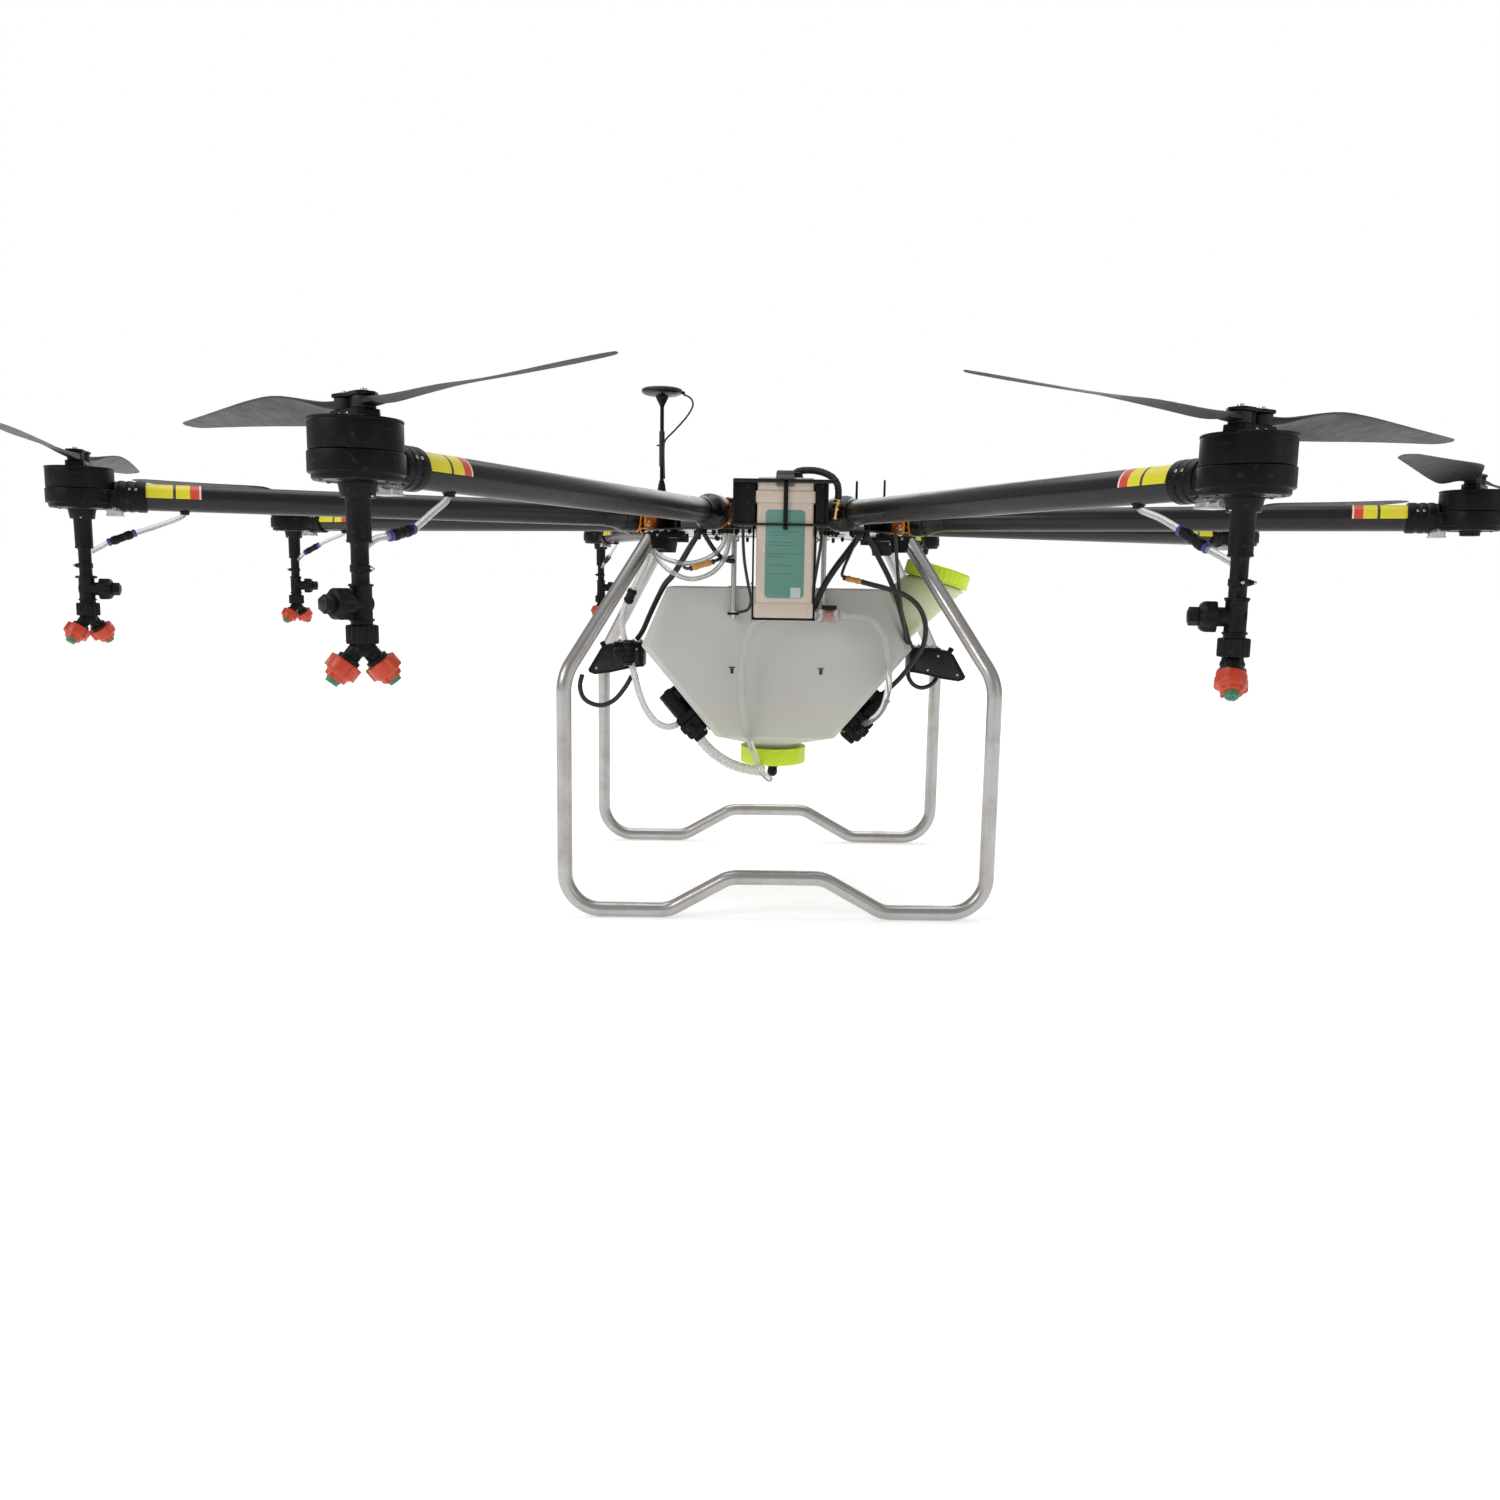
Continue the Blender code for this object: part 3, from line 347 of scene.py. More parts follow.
AMBER = surface("amber_sleeve", (0.50, 0.22, 0.03), 0.32, vary=0.12)
CLEAR = see_through("clear_hose", (0.80, 0.82, 0.80), 0.10, 0.78)
CLEAR_BOX = see_through("clear_polycarbonate", (0.90, 0.90, 0.88), 0.06, 0.8)
MILKY = see_through("milky_hose", (0.78, 0.78, 0.76), 0.22, 0.45)
LAMP_BOARD = surface("lamp_board", (0.45, 0.44, 0.42), 0.4, metallic=0.6, vary=0.4, grain=400.0, bump=0.0002)
SLEEVE = braided("cable_sleeve", (0.009, 0.009, 0.0095))
CORD_BLACK = surface("thin_cord", (0.008, 0.008, 0.0085), 0.45, vary=0.15)
YELLOW = sticker("sticker_yellow", (0.70, 0.62, 0.02), (0.03, 0.03, 0.03), 0.753, 0.757)
RED = sticker("sticker_red", (0.58, 0.055, 0.03), (0.75, 0.72, 0.66), 0.7185, 0.7205)


# ---- shapes, in mm -----------------------------------------------------------------------
def softened(profile, radius, steps=2, ring=False):
    """A polyline of (r, z) with its corners rounded a little."""
    if not radius:
        return list(profile)
    points = [Vector(p) for p in profile]
    out = []
    count = len(points)
    for i, corner in enumerate(points):
        if not ring and i in (0, count - 1):
            out.append(corner)
            continue
        before, after = points[i - 1], points[(i + 1) % count]
        a, b = before - corner, after - corner
        if a.length < 1e-6 or b.length < 1e-6 or a.angle(b) > math.radians(160):
            out.append(corner)
            continue
        reach = min(radius, a.length * 0.45, b.length * 0.45)
        start, end = corner + a.normalized() * reach, corner + b.normalized() * reach
        for k in range(steps + 1):
            t = k / steps
            out.append(start * (1 - t) ** 2 + corner * 2 * t * (1 - t) + end * t ** 2)
    return [(p[0], p[1]) for p in out]


def spline(points, per=8):
    """Smooth curve through the points, as a list of points."""
    p = [Vector(q) for q in points]
    p = [p[0] * 2 - p[1]] + p + [p[-1] * 2 - p[-2]]
    out = []
    for i in range(1, len(p) - 2):
        a, b, c, d = p[i - 1], p[i], p[i + 1], p[i + 2]
        t0 = 0.0
        t1 = t0 + (b - a).length ** 0.5
        t2 = t1 + (c - b).length ** 0.5
        t3 = t2 + (d - c).length ** 0.5
        for k in range(per + (i == len(p) - 3)):
            t = t1 + (t2 - t1) * k / per
            q1 = a * ((t1 - t) / (t1 - t0)) + b * ((t - t0) / (t1 - t0))
            q2 = b * ((t2 - t) / (t2 - t1)) + c * ((t - t1) / (t2 - t1))
            q3 = c * ((t3 - t) / (t3 - t2)) + d * ((t - t2) / (t3 - t2))
            r1 = q1 * ((t2 - t) / (t2 - t0)) + q2 * ((t - t0) / (t2 - t0))
            r2 = q2 * ((t3 - t) / (t3 - t1)) + q3 * ((t - t1) / (t3 - t1))
            out.append(r1 * ((t2 - t) / (t2 - t1)) + r2 * ((t - t1) / (t2 - t1)))
    return out


def evened(points, step):
    """The polyline cut again at an even step."""
    out = [points[0].copy()]
    total = sum((b - a).length for a, b in zip(points, points[1:]))
    count = max(2, round(total / step))
    goal, walked, index = total / count, 0.0, 0
    for k in range(1, count):
        target = goal * k
        while walked + (points[index + 1] - points[index]).length < target:
            walked += (points[index + 1] - points[index]).length
            index += 1
        a, b = points[index], points[index + 1]
        out.append(a.lerp(b, (target - walked) / (b - a).length))
    out.append(points[-1].copy())
    return out


def length_of(points):
    return sum((b - a).length for a, b in zip(points, points[1:]))


def filleted(corners, radii, steps=10):
    out = [Vector(corners[0])]
    for before, corner, after, radius in zip(corners, corners[1:], corners[2:], radii):
        corner = Vector(corner)
        a = (Vector(before) - corner).normalized()
        b = (Vector(after) - corner).normalized()
        half = a.angle(b) / 2
        reach = radius / math.tan(half)
        middle = corner + (a + b).normalized() * (radius / math.sin(half))
        start, end = corner + a * reach - middle, corner + b * reach - middle
        total = start.angle(end)
        for i in range(steps + 1):
            t = i / steps
            out.append(middle + (start * math.sin((1 - t) * total) + end * math.sin(t * total)) / math.sin(total))
    out.append(Vector(corners[-1]))
    return out


def circle(radius, count, x=0.0, y=0.0, start=0.0):
    return [(x + radius * math.cos(math.radians(start) + math.tau * i / count), y + radius * math.sin(math.radians(start) + math.tau * i / count)) for i in range(count)]


def stadium(half, radius, count=12, x=0.0, y=0.0):
    out = []
    for side, start in ((1, -90.0), (-1, 90.0)):
        for i in range(count + 1):
            a = math.radians(start + 180.0 * i / count)
            out.append((x + side * half + radius * math.cos(a), y + radius * math.sin(a)))
    return out


def rectangle(x0, x1, y0, y1, radius=0.0, count=4):
    if not radius:
        return [(x0, y0), (x1, y0), (x1, y1), (x0, y1)]
    out = []
    for cx, cy, start in ((x1 - radius, y0 + radius, -90), (x1 - radius, y1 - radius, 0), (x0 + radius, y1 - radius, 90), (x0 + radius, y0 + radius, 180)):
        for i in range(count + 1):
            a = math.radians(start + 90.0 * i / count)
            out.append((cx + radius * math.cos(a), cy + radius * math.sin(a)))
    return out


class Shape:
    """A mesh put together from closed shapes drawn in mm, each with its own material."""

    def __init__(self):
        self.whole = bmesh.new()
        self.materials = []

    def take(self, bm, material, place=None, bevel=0.0, steps=2, angle=32.0):
        bmesh.ops.recalc_face_normals(bm, faces=bm.faces)
        if bevel:
            edges = [e for e in bm.edges if len(e.link_faces) == 2 and e.calc_face_angle(0.0) > math.radians(angle)]
            bmesh.ops.bevel(bm, geom=edges, offset=bevel, segments=steps, profile=0.5, affect="EDGES", clamp_overlap=True)
        if place is not None:
            bm.transform(place)
            if place.determinant() < 0:
                bmesh.ops.reverse_faces(bm, faces=bm.faces)
        if material not in self.materials:
            self.materials.append(material)
        for face in bm.faces:
            face.material_index = self.materials.index(material)
            face.smooth = True
        scratch = bpy.data.meshes.new("scratch")
        bm.to_mesh(scratch)
        bm.free()
        self.whole.from_mesh(scratch)
        bpy.data.meshes.remove(scratch)
        return self

    def turned(self, profile, material, place=None, around=48, soft=0.5, ring=False, ribs=0, rib=0.0):
        """(radius, height) along the axis, turned about Z. ribs moves every other column in by rib where r is largest."""
        points = softened(profile, soft, ring=ring)
        if not ring:
            if points[0][0] > 1e-6:
                points = [(0.0, points[0][1])] + points
            if points[-1][0] > 1e-6:
                points = points + [(0.0, points[-1][1])]
        bm = bmesh.new()
        most = max(r for r, _ in points)
        rings = []
        for r, z in points:
            if r <= 1e-6:
                rings.append([bm.verts.new((0, 0, z))])
                continue
            row = []
            for i in range(around):
                q = r
                if ribs and r > most - 1.5:
                    q = r - rib * (0.5 + 0.5 * math.cos(math.tau * i * ribs / around))
                a = math.tau * i / around
                row.append(bm.verts.new((q * math.cos(a), q * math.sin(a), z)))
            rings.append(row)
        pairs = list(zip(rings, rings[1:])) + ([(rings[-1], rings[0])] if ring else [])
        for a, b in pairs:
            for i in range(around):
                j = (i + 1) % around
                if len(a) == 1 and len(b) == 1:
                    break
                if len(a) == 1:
                    bm.faces.new((a[0], b[i], b[j]))
                elif len(b) == 1:
                    bm.faces.new((a[i], b[0], a[j]))
                else:
                    bm.faces.new((a[i], b[i], b[j], a[j]))
        return self.take(bm, material, place)

    def block(self, x, y, z, material, place=None, bevel=0.8, steps=2):
        bm = bmesh.new()
        size = Matrix.Diagonal((x[1] - x[0], y[1] - y[0], z[1] - z[0], 1.0))
        bmesh.ops.create_cube(bm, size=1.0, matrix=shift((x[0] + x[1]) / 2, (y[0] + y[1]) / 2, (z[0] + z[1]) / 2) @ size)
        return self.take(bm, material, place, bevel, steps)

    def slab(self, outline, low, high, material, place=None, bevel=0.5, holes=(), steps=2):
        """A flat outline, with holes, raised from low to high, its edges broken."""
        curve = bpy.data.curves.new("slab", "CURVE")
        curve.dimensions = "2D"
        curve.fill_mode = "BOTH"
        curve.extrude = (high - low) / 2 - bevel
        curve.bevel_depth = bevel
        curve.bevel_resolution = max(0, steps - 1)
        curve.offset = -bevel
        for loop in (outline, *holes):
            part = curve.splines.new("POLY")
            part.points.add(len(loop) - 1)
            for point, (x, y) in zip(part.points, loop):
                point.co = (x, y, 0.0, 1.0)
            part.use_cyclic_u = True
        made = bpy.data.objects.new("slab", curve)
        bpy.context.scene.collection.objects.link(made)
        graph = bpy.context.evaluated_depsgraph_get()
        mesh = bpy.data.meshes.new_from_object(made.evaluated_get(graph), depsgraph=graph)
        bpy.data.objects.remove(made)
        bm = bmesh.new()
        bm.from_mesh(mesh)
        bpy.data.meshes.remove(mesh)
        bmesh.ops.remove_doubles(bm, verts=bm.verts, dist=0.001)
        bm.transform(shift(z=(low + high) / 2))
        return self.take(bm, material, place)

    def swept(self, points, radius, material, place=None, around=16, section=None, up=None):
        """A tube, or a section of (side, up) offsets, along a polyline. radius is a number or one for each point."""
        points = [Vector(p) for p in points]
        count = len(points)
        ways = []
        for i in range(count):
            a, b = points[max(0, i - 1)], points[min(count - 1, i + 1)]
            ways.append((b - a).normalized())
        guess = Vector(up) if up else (Vector((0, 0, 1)) if abs(ways[0].z) < 0.9 else Vector((1, 0, 0)))
        normal = (guess - ways[0] * guess.dot(ways[0])).normalized()
        bm = bmesh.new()
        rings = []
        for i, way in enumerate(ways):
            if i:
                normal = ways[i - 1].rotation_difference(way) @ normal
                normal = (normal - way * normal.dot(way)).normalized()
            side = normal.cross(way)
            r = radius[i] if isinstance(radius, (list, tuple)) else radius
            offsets = section or [(math.cos(math.tau * k / around) * r, math.sin(math.tau * k / around) * r) for k in range(around)]
            rings.append([bm.verts.new(points[i] + side * s + normal * u) for s, u in offsets])
        n = len(rings[0])
        for a, b in zip(rings, rings[1:]):
            for k in range(n):
                m = (k + 1) % n
                bm.faces.new((a[k], a[m], b[m], b[k]))
        for ring in (rings[0], rings[-1]):
            bm.faces.new(ring)
        return self.take(bm, material, place)

    def hull(self, points, material, place=None, bevel=1.0, steps=2, angle=12.0):
        bm = bmesh.new()
        for point in points:
            bm.verts.new(point)
        made = bmesh.ops.convex_hull(bm, input=bm.verts)
        loose = {g for g in made["geom_interior"] + made["geom_unused"] if isinstance(g, bmesh.types.BMVert)}
        if loose:
            bmesh.ops.delete(bm, geom=list(loose), context="VERTS")
        bmesh.ops.dissolve_limit(bm, angle_limit=math.radians(1.0), verts=bm.verts, edges=bm.edges)
        return self.take(bm, material, place, bevel, steps, angle)

    def screw(self, place, material, radius=2.6, height=2.2, socket=True, hexagon=False):
        """A cap screw or nut seen from outside: head from z = 0 outwards."""
        if hexagon:
            self.slab(circle(radius * 1.12, 6), -0.2, height, material, place, 0.25)
            self.turned([(radius * 0.45, 0.0), (radius * 0.45, height + 1.6)], material, place, 16, 0.2)
            return self
        profile = [(radius, -0.3), (radius, height * 0.75), (radius * 0.8, height)]
        if socket:
            profile += [(radius * 0.5, height), (radius * 0.45, height * 0.35), (0.0, height * 0.3)]
        return self.turned(profile, material, place, 20, 0.25)

    def mesh(self, name):
        mesh = bpy.data.meshes.new(name)
        self.whole.transform(Matrix.Scale(MM, 4))
        self.whole.to_mesh(mesh)
        self.whole.free()
        for material in self.materials:
            mesh.materials.append(material)
        mesh.shade_smooth()
        mesh.set_sharp_from_angle(angle=math.radians(33))
        return mesh


def piece(name, mesh, matrix, body, replaces=()):
    made = bpy.data.objects.new(name, mesh)
    bpy.context.scene.collection.objects.link(made)
    made.matrix_world = matrix
    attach(made, body)
    if replaces:
        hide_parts(*replaces)
    return made


# ---- hoses and cables ---------------------------------------------------------------------
CORDS = {}


def cord(name, points, diameter, material, body="frame", origin=None, even=None, with_pieces=(), ribbed=None, per=8):
    """A hose or cable along a smooth curve through the points, given from the hub axis, and kept in CORDS with its
    world points and length.
    """
    origin = origin or at(0, 0, 0)
    path = evened(spline(points, per), even or max(3.0, diameter * 0.6))
    world = [origin @ (p * MM) for p in path]
    if ribbed:
        pitch, depth = ribbed
        fine = evened(path, pitch / 4)
        radii = [diameter / 2 - depth * (0.5 - 0.5 * math.cos(math.tau * i / 4)) for i in range(len(fine))]
        shape = Shape().swept(fine, radii, material, around=16)
        made = piece(name, shape.mesh(name), origin, body)
    else:
        curve = bpy.data.curves.new(name, "CURVE")
        curve.dimensions = "3D"
        curve.bevel_depth = diameter / 2 * MM
        curve.bevel_resolution = 4
        curve.use_fill_caps = True
        part = curve.splines.new("POLY")
        part.points.add(len(path) - 1)
        for point, place in zip(part.points, path):
            point.co = (*(place * MM), 1.0)
        part.use_smooth = True
        curve.materials.append(material)
        made = bpy.data.objects.new(name, curve)
        bpy.context.scene.collection.objects.link(made)
        made.matrix_world = origin
        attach(made, body)
    CORDS[name] = (made, world, length_of(world))
    return made


def fitting(name, start, end, radius, body="frame", origin=None, collar=NAVY, barrel=BLACK, collars=(True, True)):
    """Push-in connector between two points: ribbed barrel with a coloured collar at each end."""
    length = (Vector(end) - Vector(start)).length
    s = Shape()
    r = radius
    profile = [(r * 0.72, 0), (r * 0.86, 1.5), (r, 4), (r, length * 0.28), (r * 0.88, length * 0.34), (r * 0.88, length * 0.46), (r * 0.97, length * 0.5),
               (r * 0.88, length * 0.54), (r * 0.88, length * 0.66), (r, length * 0.72), (r, length - 4), (r * 0.86, length - 1.5), (r * 0.72, length)]
    s.turned(profile, barrel, around=32, soft=0.8)
    for used, z0, z1 in ((collars[0], -5.0, 0.5), (collars[1], length - 0.5, length + 5.0)):
        if used:
            s.turned([(r * 0.62, z0), (r * 0.9, z0 + 1.2), (r * 0.9, z0 + 3.4), (r * 0.7, z1)] if z0 < 0 else [(r * 0.7, z0), (r * 0.9, z1 - 3.4), (r * 0.9, z1 - 1.2), (r * 0.62, z1)], collar, around=32, soft=0.4)
    place = (origin or at(0, 0, 0)) @ Matrix.Scale(MM, 4) @ aim(start, end) @ Matrix.Scale(1 / MM, 4)
    return piece(name, s.mesh(name), place, body)

# hoses to the drop nozzles, in the plane of each arm: radius from the hub axis, sideways, height
NOZZLE_HOSE = {
    1: ([(989, 0, 655), (992, 0, 650), (1024, 0, 635), (1059, 0, 622), (1093.5, 0, 608), (1107, 0, 600), (1119, 0, 593)], (1062, 0, 621), (1092, 0, 608.5)),
    2: ([(989, 0, 655), (993, 0, 650), (1026, 0, 639), (1060, 0, 626), (1099, 0, 609), (1109, 0, 602), (1119, 0, 594)], (1063, 0, 625), (1095, 0, 611)),
    3: ([(981, 0, 655), (985, 0, 649), (1010, 0, 634), (1046, 0, 614), (1082, 0, 606), (1103, 0, 602), (1119, 0, 594)], (1048, 0, 613.5), (1079, 0, 606.5)),
    4: ([(985, 0, 655), (989, 0, 649), (1018, 0, 636), (1052, 0, 620), (1088, 0, 607), (1106, 0, 600), (1119, 0, 593)], (1054, 0, 619), (1085, 0, 608)),
    5: ([(977, 0, 655), (981, 0, 650.5), (1010, 0, 641), (1043, 0, 626.5), (1084, 0, 606), (1103, 0, 598), (1119, 0, 591.5)], (1046, 0, 625), (1080, 0, 608)),
    8: ([(985, 0, 655), (989, 0, 649), (1018, 0, 636), (1052, 0, 620), (1088, 0, 607), (1106, 0, 600), (1119, 0, 593)], (1054, 0, 619), (1085, 0, 608)),
}
for n in WITH_NOZZLE:
    route, a, b = NOZZLE_HOSE[n]
    place = at(0, 0, 0, AZIMUTH[n])
    joint = fitting(f"hose_connector_{n}", a, b, 6.6, body=f"arm_{n}", origin=place)
    cord(f"nozzle_hose_{n}", route, 7.6, CLEAR, body=f"arm_{n}", origin=place, with_pieces=[joint], even=4.0)

# left side
cord("left_sleeve", [(-128.3, -213, 646), (-132, -211, 640), (-145.1, -203, 620), (-163, -172, 592), (-180, -125, 570), (-195, -75, 556), (-209, -48, 533), (-225, -38, 500), (-240, -32, 467), (-250, -30, 453)], 10.5, SLEEVE, ribbed=(4.2, 0.9))
cord("left_sleeve_short", [(-124, -213, 646), (-119, -212, 638), (-106, -208, 618), (-92, -198, 603), (-78, -170, 598), (-72, -146, 598)], 8.5, SLEEVE, ribbed=(4.0, 0.8))
AMBER_L = fitting("left_amber_sleeve", (-140.5, -217, 584.6), (-108, -216, 594.6), 5.2, collar=CORD_BLACK, barrel=AMBER)
cord("left_amber_lead", [(-156, -188, 586), (-150, -203, 583.5), (-140, -214, 584.5), (-124, -216, 589.5), (-107.5, -215, 594.9), (-95, -210, 600), (-82, -185, 603), (-74, -148, 606)], 5.6, CORD_BLACK, with_pieces=[AMBER_L])
cord("left_loop_upper", [(-212, -150, 618), (-207, -152, 611), (-195, -158, 602.5), (-177.5, -170, 596), (-145.7, -190, 592.6), (-111.2, -205, 603.4), (-92, -210, 620), (-86, -212, 634), (-85, -213, 647)], 8.2, CLEAR)
cord("left_loop_lower", [(-213, -147, 615), (-206, -150, 602), (-181.1, -165, 579), (-145.6, -185, 566), (-111.1, -200, 575), (-91, -208, 594), (-81, -211, 620), (-79, -212, 647)], 8.2, CLEAR)
cord("left_hose_up", [(-268.9, -60, 453.2), (-273, -60, 470), (-273.5, -61, 498.7), (-264, -69, 525), (-254, -77, 543), (-240, -94, 570), (-228, -108, 593), (-221, -122, 612)], 10.5, MILKY,
     with_pieces=[fitting("left_inline_valve", (-263, -70, 522), (-252.4, -80, 546), 9.0, collars=(False, False))])
cord("left_hose_down", [(-257, -61, 410), (-253, -64, 398), (-243, -72, 362), (-228, -82, 328), (-208, -90, 305), (-188, -86, 297), (-172, -76, 300)], 12.5, MILKY)
TEE = Shape()
TEE.turned([(8.6, 452), (8.6, 446), (11.0, 445), (11.0, 437), (9.2, 436), (9.2, 424), (11.0, 423), (11.0, 415), (8.6, 414), (8.6, 408)], BLACK, shift(-262, -60), 32)
TEE.turned([(9.0, 453.5), (10.6, 452.5), (10.6, 448), (9, 447)], BLACK_SATIN, shift(-262, -60), 32)
TEE.turned([(9.0, 413.5), (10.4, 412.5), (10.4, 408), (8.8, 407)], BLACK_SATIN, shift(-262, -60), 32)
TEE.turned([(7.5, 0), (8.4, 2), (8.4, 15), (9.6, 16), (9.6, 20), (8.8, 22.0)], BLACK, shift(-262, -60, 430) @ turn("Y", -90), 32)
TEE.turned([(7.5, 22), (9.2, 23), (9.2, 26.5), (7.8, 27.5), (3.0, 28.5)], BLACK_SATIN, shift(-262, -60, 430) @ turn("Y", -90), 32)
piece("left_hose_tee", TEE.mesh("left_hose_tee"), at(0, 0, 0), "frame")
cord("left_under_lead", [(-352, -24, 386), (-356, -28, 365), (-349, -32, 343), (-332, -34, 332), (-312, -36, 330), (-290, -39, 341), (-268, -44, 368), (-258, -48, 386)], 9.5, SLEEVE, ribbed=(3.8, 0.7))

# middle: from the drain up to the flow meter and over to the right pump
cord("main_hose", [(3.2, -14, 190), (-4, -24, 196), (-16.9, -48, 215.8), (-31.3, -92, 255.3), (-43.5, -139, 301.7), (-51.5, -152, 345), (-54.5, -154, 391.9), (-51, -156, 440), (-44, -158, 472), (-27, -159, 494), (-4, -160, 504), (19.7, -160, 507), (44, -160, 507), (66, -160, 506)], 12.0, CLEAR)
METER = Shape()
METER.turned([(5.5, 66), (7.0, 68), (7.0, 76), (11.5, 78), (12.5, 80), (12.5, 85), (10.8, 86), (10.8, 106), (12.5, 107), (12.5, 112), (11.5, 114), (7, 116), (7, 122), (5.5, 124)], CLEAR_BOX, shift(0, -160, 506) @ turn("Y", 90), 48)
METER.turned([(2.2, 84), (2.2, 108)], ORANGE_CAP, shift(0, -160, 506) @ turn("Y", 90), 16)
for k in range(4):
    METER.block((88, 104), (-0.7, 0.7), (1.0, 8.2), ORANGE_CAP, shift(0, -160, 506) @ turn("X", 45 + 90 * k), 0.2)
METER.block((84, 109), (-169, -151), (517, 524), BLACK, None, 1.2)
for x in (82.5, 109.5):
    METER.turned([(3.4, 0), (3.4, 25), (2.0, 26)], STEEL, shift(x, -160, 494) @ turn("X", 0), 16)
piece("flow_meter", METER.mesh("flow_meter"), at(0, 0, 0), "frame")
cord("meter_hose", [(124, -160, 506), (137, -160, 506.5), (154, -160, 505), (177.1, -160, 496), (194, -158, 470), (204, -150, 426), (207.8, -134, 380), (202, -110, 340), (188, -92, 318), (170, -80, 306)], 12.0, CLEAR)

# right side
cord("right_sleeve", [(142, -206, 646), (139, -205, 640), (124, -196, 617), (104, -178, 588), (88, -165, 561), (78, -156, 538), (72, -146, 520)], 12.0, SLEEVE, ribbed=(4.6, 1.0))
AMBER_R = fitting("right_amber_sleeve", (120, -206, 571.4), (146, -206, 566), 5.2, collar=CORD_BLACK, barrel=AMBER)
cord("right_thin_lead", [(137.5, -210, 646), (136, -209, 638), (126, -207, 612), (116, -206, 588), (113.5, -206, 576), (119, -206, 571.6), (133, -206, 568.6), (150, -205, 565)], 5.2, CORD_BLACK, with_pieces=[AMBER_R])
cord("right_pump_lead", [(148, -205, 565.4), (168, -203, 560.5), (187.9, -200, 555.9), (223.3, -193, 544.5), (250, -180, 524.2), (266, -160, 492), (266, -140, 455), (252, -120, 425), (234, -98, 395), (216, -76, 372), (207, -64, 362)], 9.5, SLEEVE, ribbed=(3.8, 0.7))
cord("right_second_lead", [(153, -208, 646), (157, -206, 638), (178.5, -195, 603.1), (198.6, -180, 569.6), (216, -162, 533), (232, -135, 492), (244, -112, 462), (252, -96, 450)], 10.0, SLEEVE, ribbed=(4.0, 0.8))
cord("right_third_lead", [(199, -214, 650), (201.7, -213, 640), (206, -203, 606), (216, -182, 545), (230, -145, 490), (240, -118, 460), (246, -102, 450)], 6.0, CORD_BLACK)
cord("right_under_lead", [(252.4, -62, 402), (253, -64, 394), (262, -65, 380), (276, -66, 374), (292, -66, 378), (303, -64, 388), (307, -60, 398)], 8.0, CORD_BLACK)

# battery: main lead over the side, retaining cords under the hub, suction hose behind
PLUG = Shape()
PLUG.turned([(3.4, 0), (4.6, 1), (4.6, 14), (6.6, 15), (7.2, 16), (7.2, 25), (6.0, 26), (6.0, 31), (4.4, 32.5)], BRASS, turn("Y", 9), 32)
PLUG.turned([(3.2, -1.2), (3.6, 0.4)], BLACK, turn("Y", 9), 24)
PLUG_END = piece("battery_plug", PLUG.mesh("battery_plug"), at(90.5, -296, 665), "battery")
cord("battery_lead", [(22, -300, 729), (24, -298, 735), (32, -296, 740), (46, -296, 741.5), (60, -296, 741), (75, -296, 737), (88, -296, 729.5), (95, -296, 718), (96.3, -296, 706), (95.8, -296, 697)], 12.0, SLEEVE, body="battery", ribbed=(3.8, 0.8), with_pieces=[PLUG_END])
cord("front_cord_left", [(-56, -226, 649), (-55.5, -224, 630), (-53, -212, 598.9), (-45, -188, 555), (-40, -168, 531), (-46, -150, 514), (-62, -141, 509)], 5.4, CORD_BLACK)
cord("front_cord_right", [(75.8, -226, 649), (75, -224, 630), (72, -212, 600.9), (67, -188, 555), (66, -168, 529.7), (72, -150, 514), (82, -141, 509)], 5.4, CORD_BLACK)
cord("suction_hose", [(-150, 20, 296), (-146, 26, 284), (-134, 34, 262), (-108, 38, 233), (-72, 34, 211), (-36, 20, 203), (-10, 8, 202)], 21.0, MILKY, ribbed=(5.0, 0.9))
cord("gps_cable", [(-168.5, 8, 900.5), (-161.8, 8, 898.6), (-153, 7, 892), (-150.5, 6, 882.2), (-159.4, 4, 863.9), (-182.9, 0, 836.2), (-200, -2, 818), (-204, -2, 806), (-203.0, -2, 781.8), (-202.4, -2, 760), (-201.8, -2, 748)], 3.4, CORD_BLACK, body="gps")


# ---- arms ---------------------------------------------------------------------------------
def partly_turned(s, radius, low, high, start, end, material, place, thick=0.5, columns=28):
    """A thin curved patch of a tube's surface, such as a sticker."""
    outline = []
    for r, order in ((radius, range(columns + 1)), (radius - thick, range(columns, -1, -1))):
        for i in order:
            a = math.radians(start + (end - start) * i / columns)
            outline.append((r * math.cos(a), r * math.sin(a)))
    bm = bmesh.new()
    rows = [[bm.verts.new((x, y, z)) for x, y in outline] for z in (low, high)]
    n = len(outline)
    for i in range(n):
        j = (i + 1) % n
        bm.faces.new((rows[0][i], rows[0][j], rows[1][j], rows[1][i]))
    m = columns + 1
    for row in rows:
        for i in range(columns):
            bm.faces.new((row[i], row[i + 1], row[n - 2 - i], row[n - 1 - i]))
    return s.take(bm, material, place)


TUBE_AXIS = shift(-HINGE_R, 0, TUBE_Z - HINGE_Z) @ turn("Y", 90)
TUBE_END = MOTOR_R - 50.5


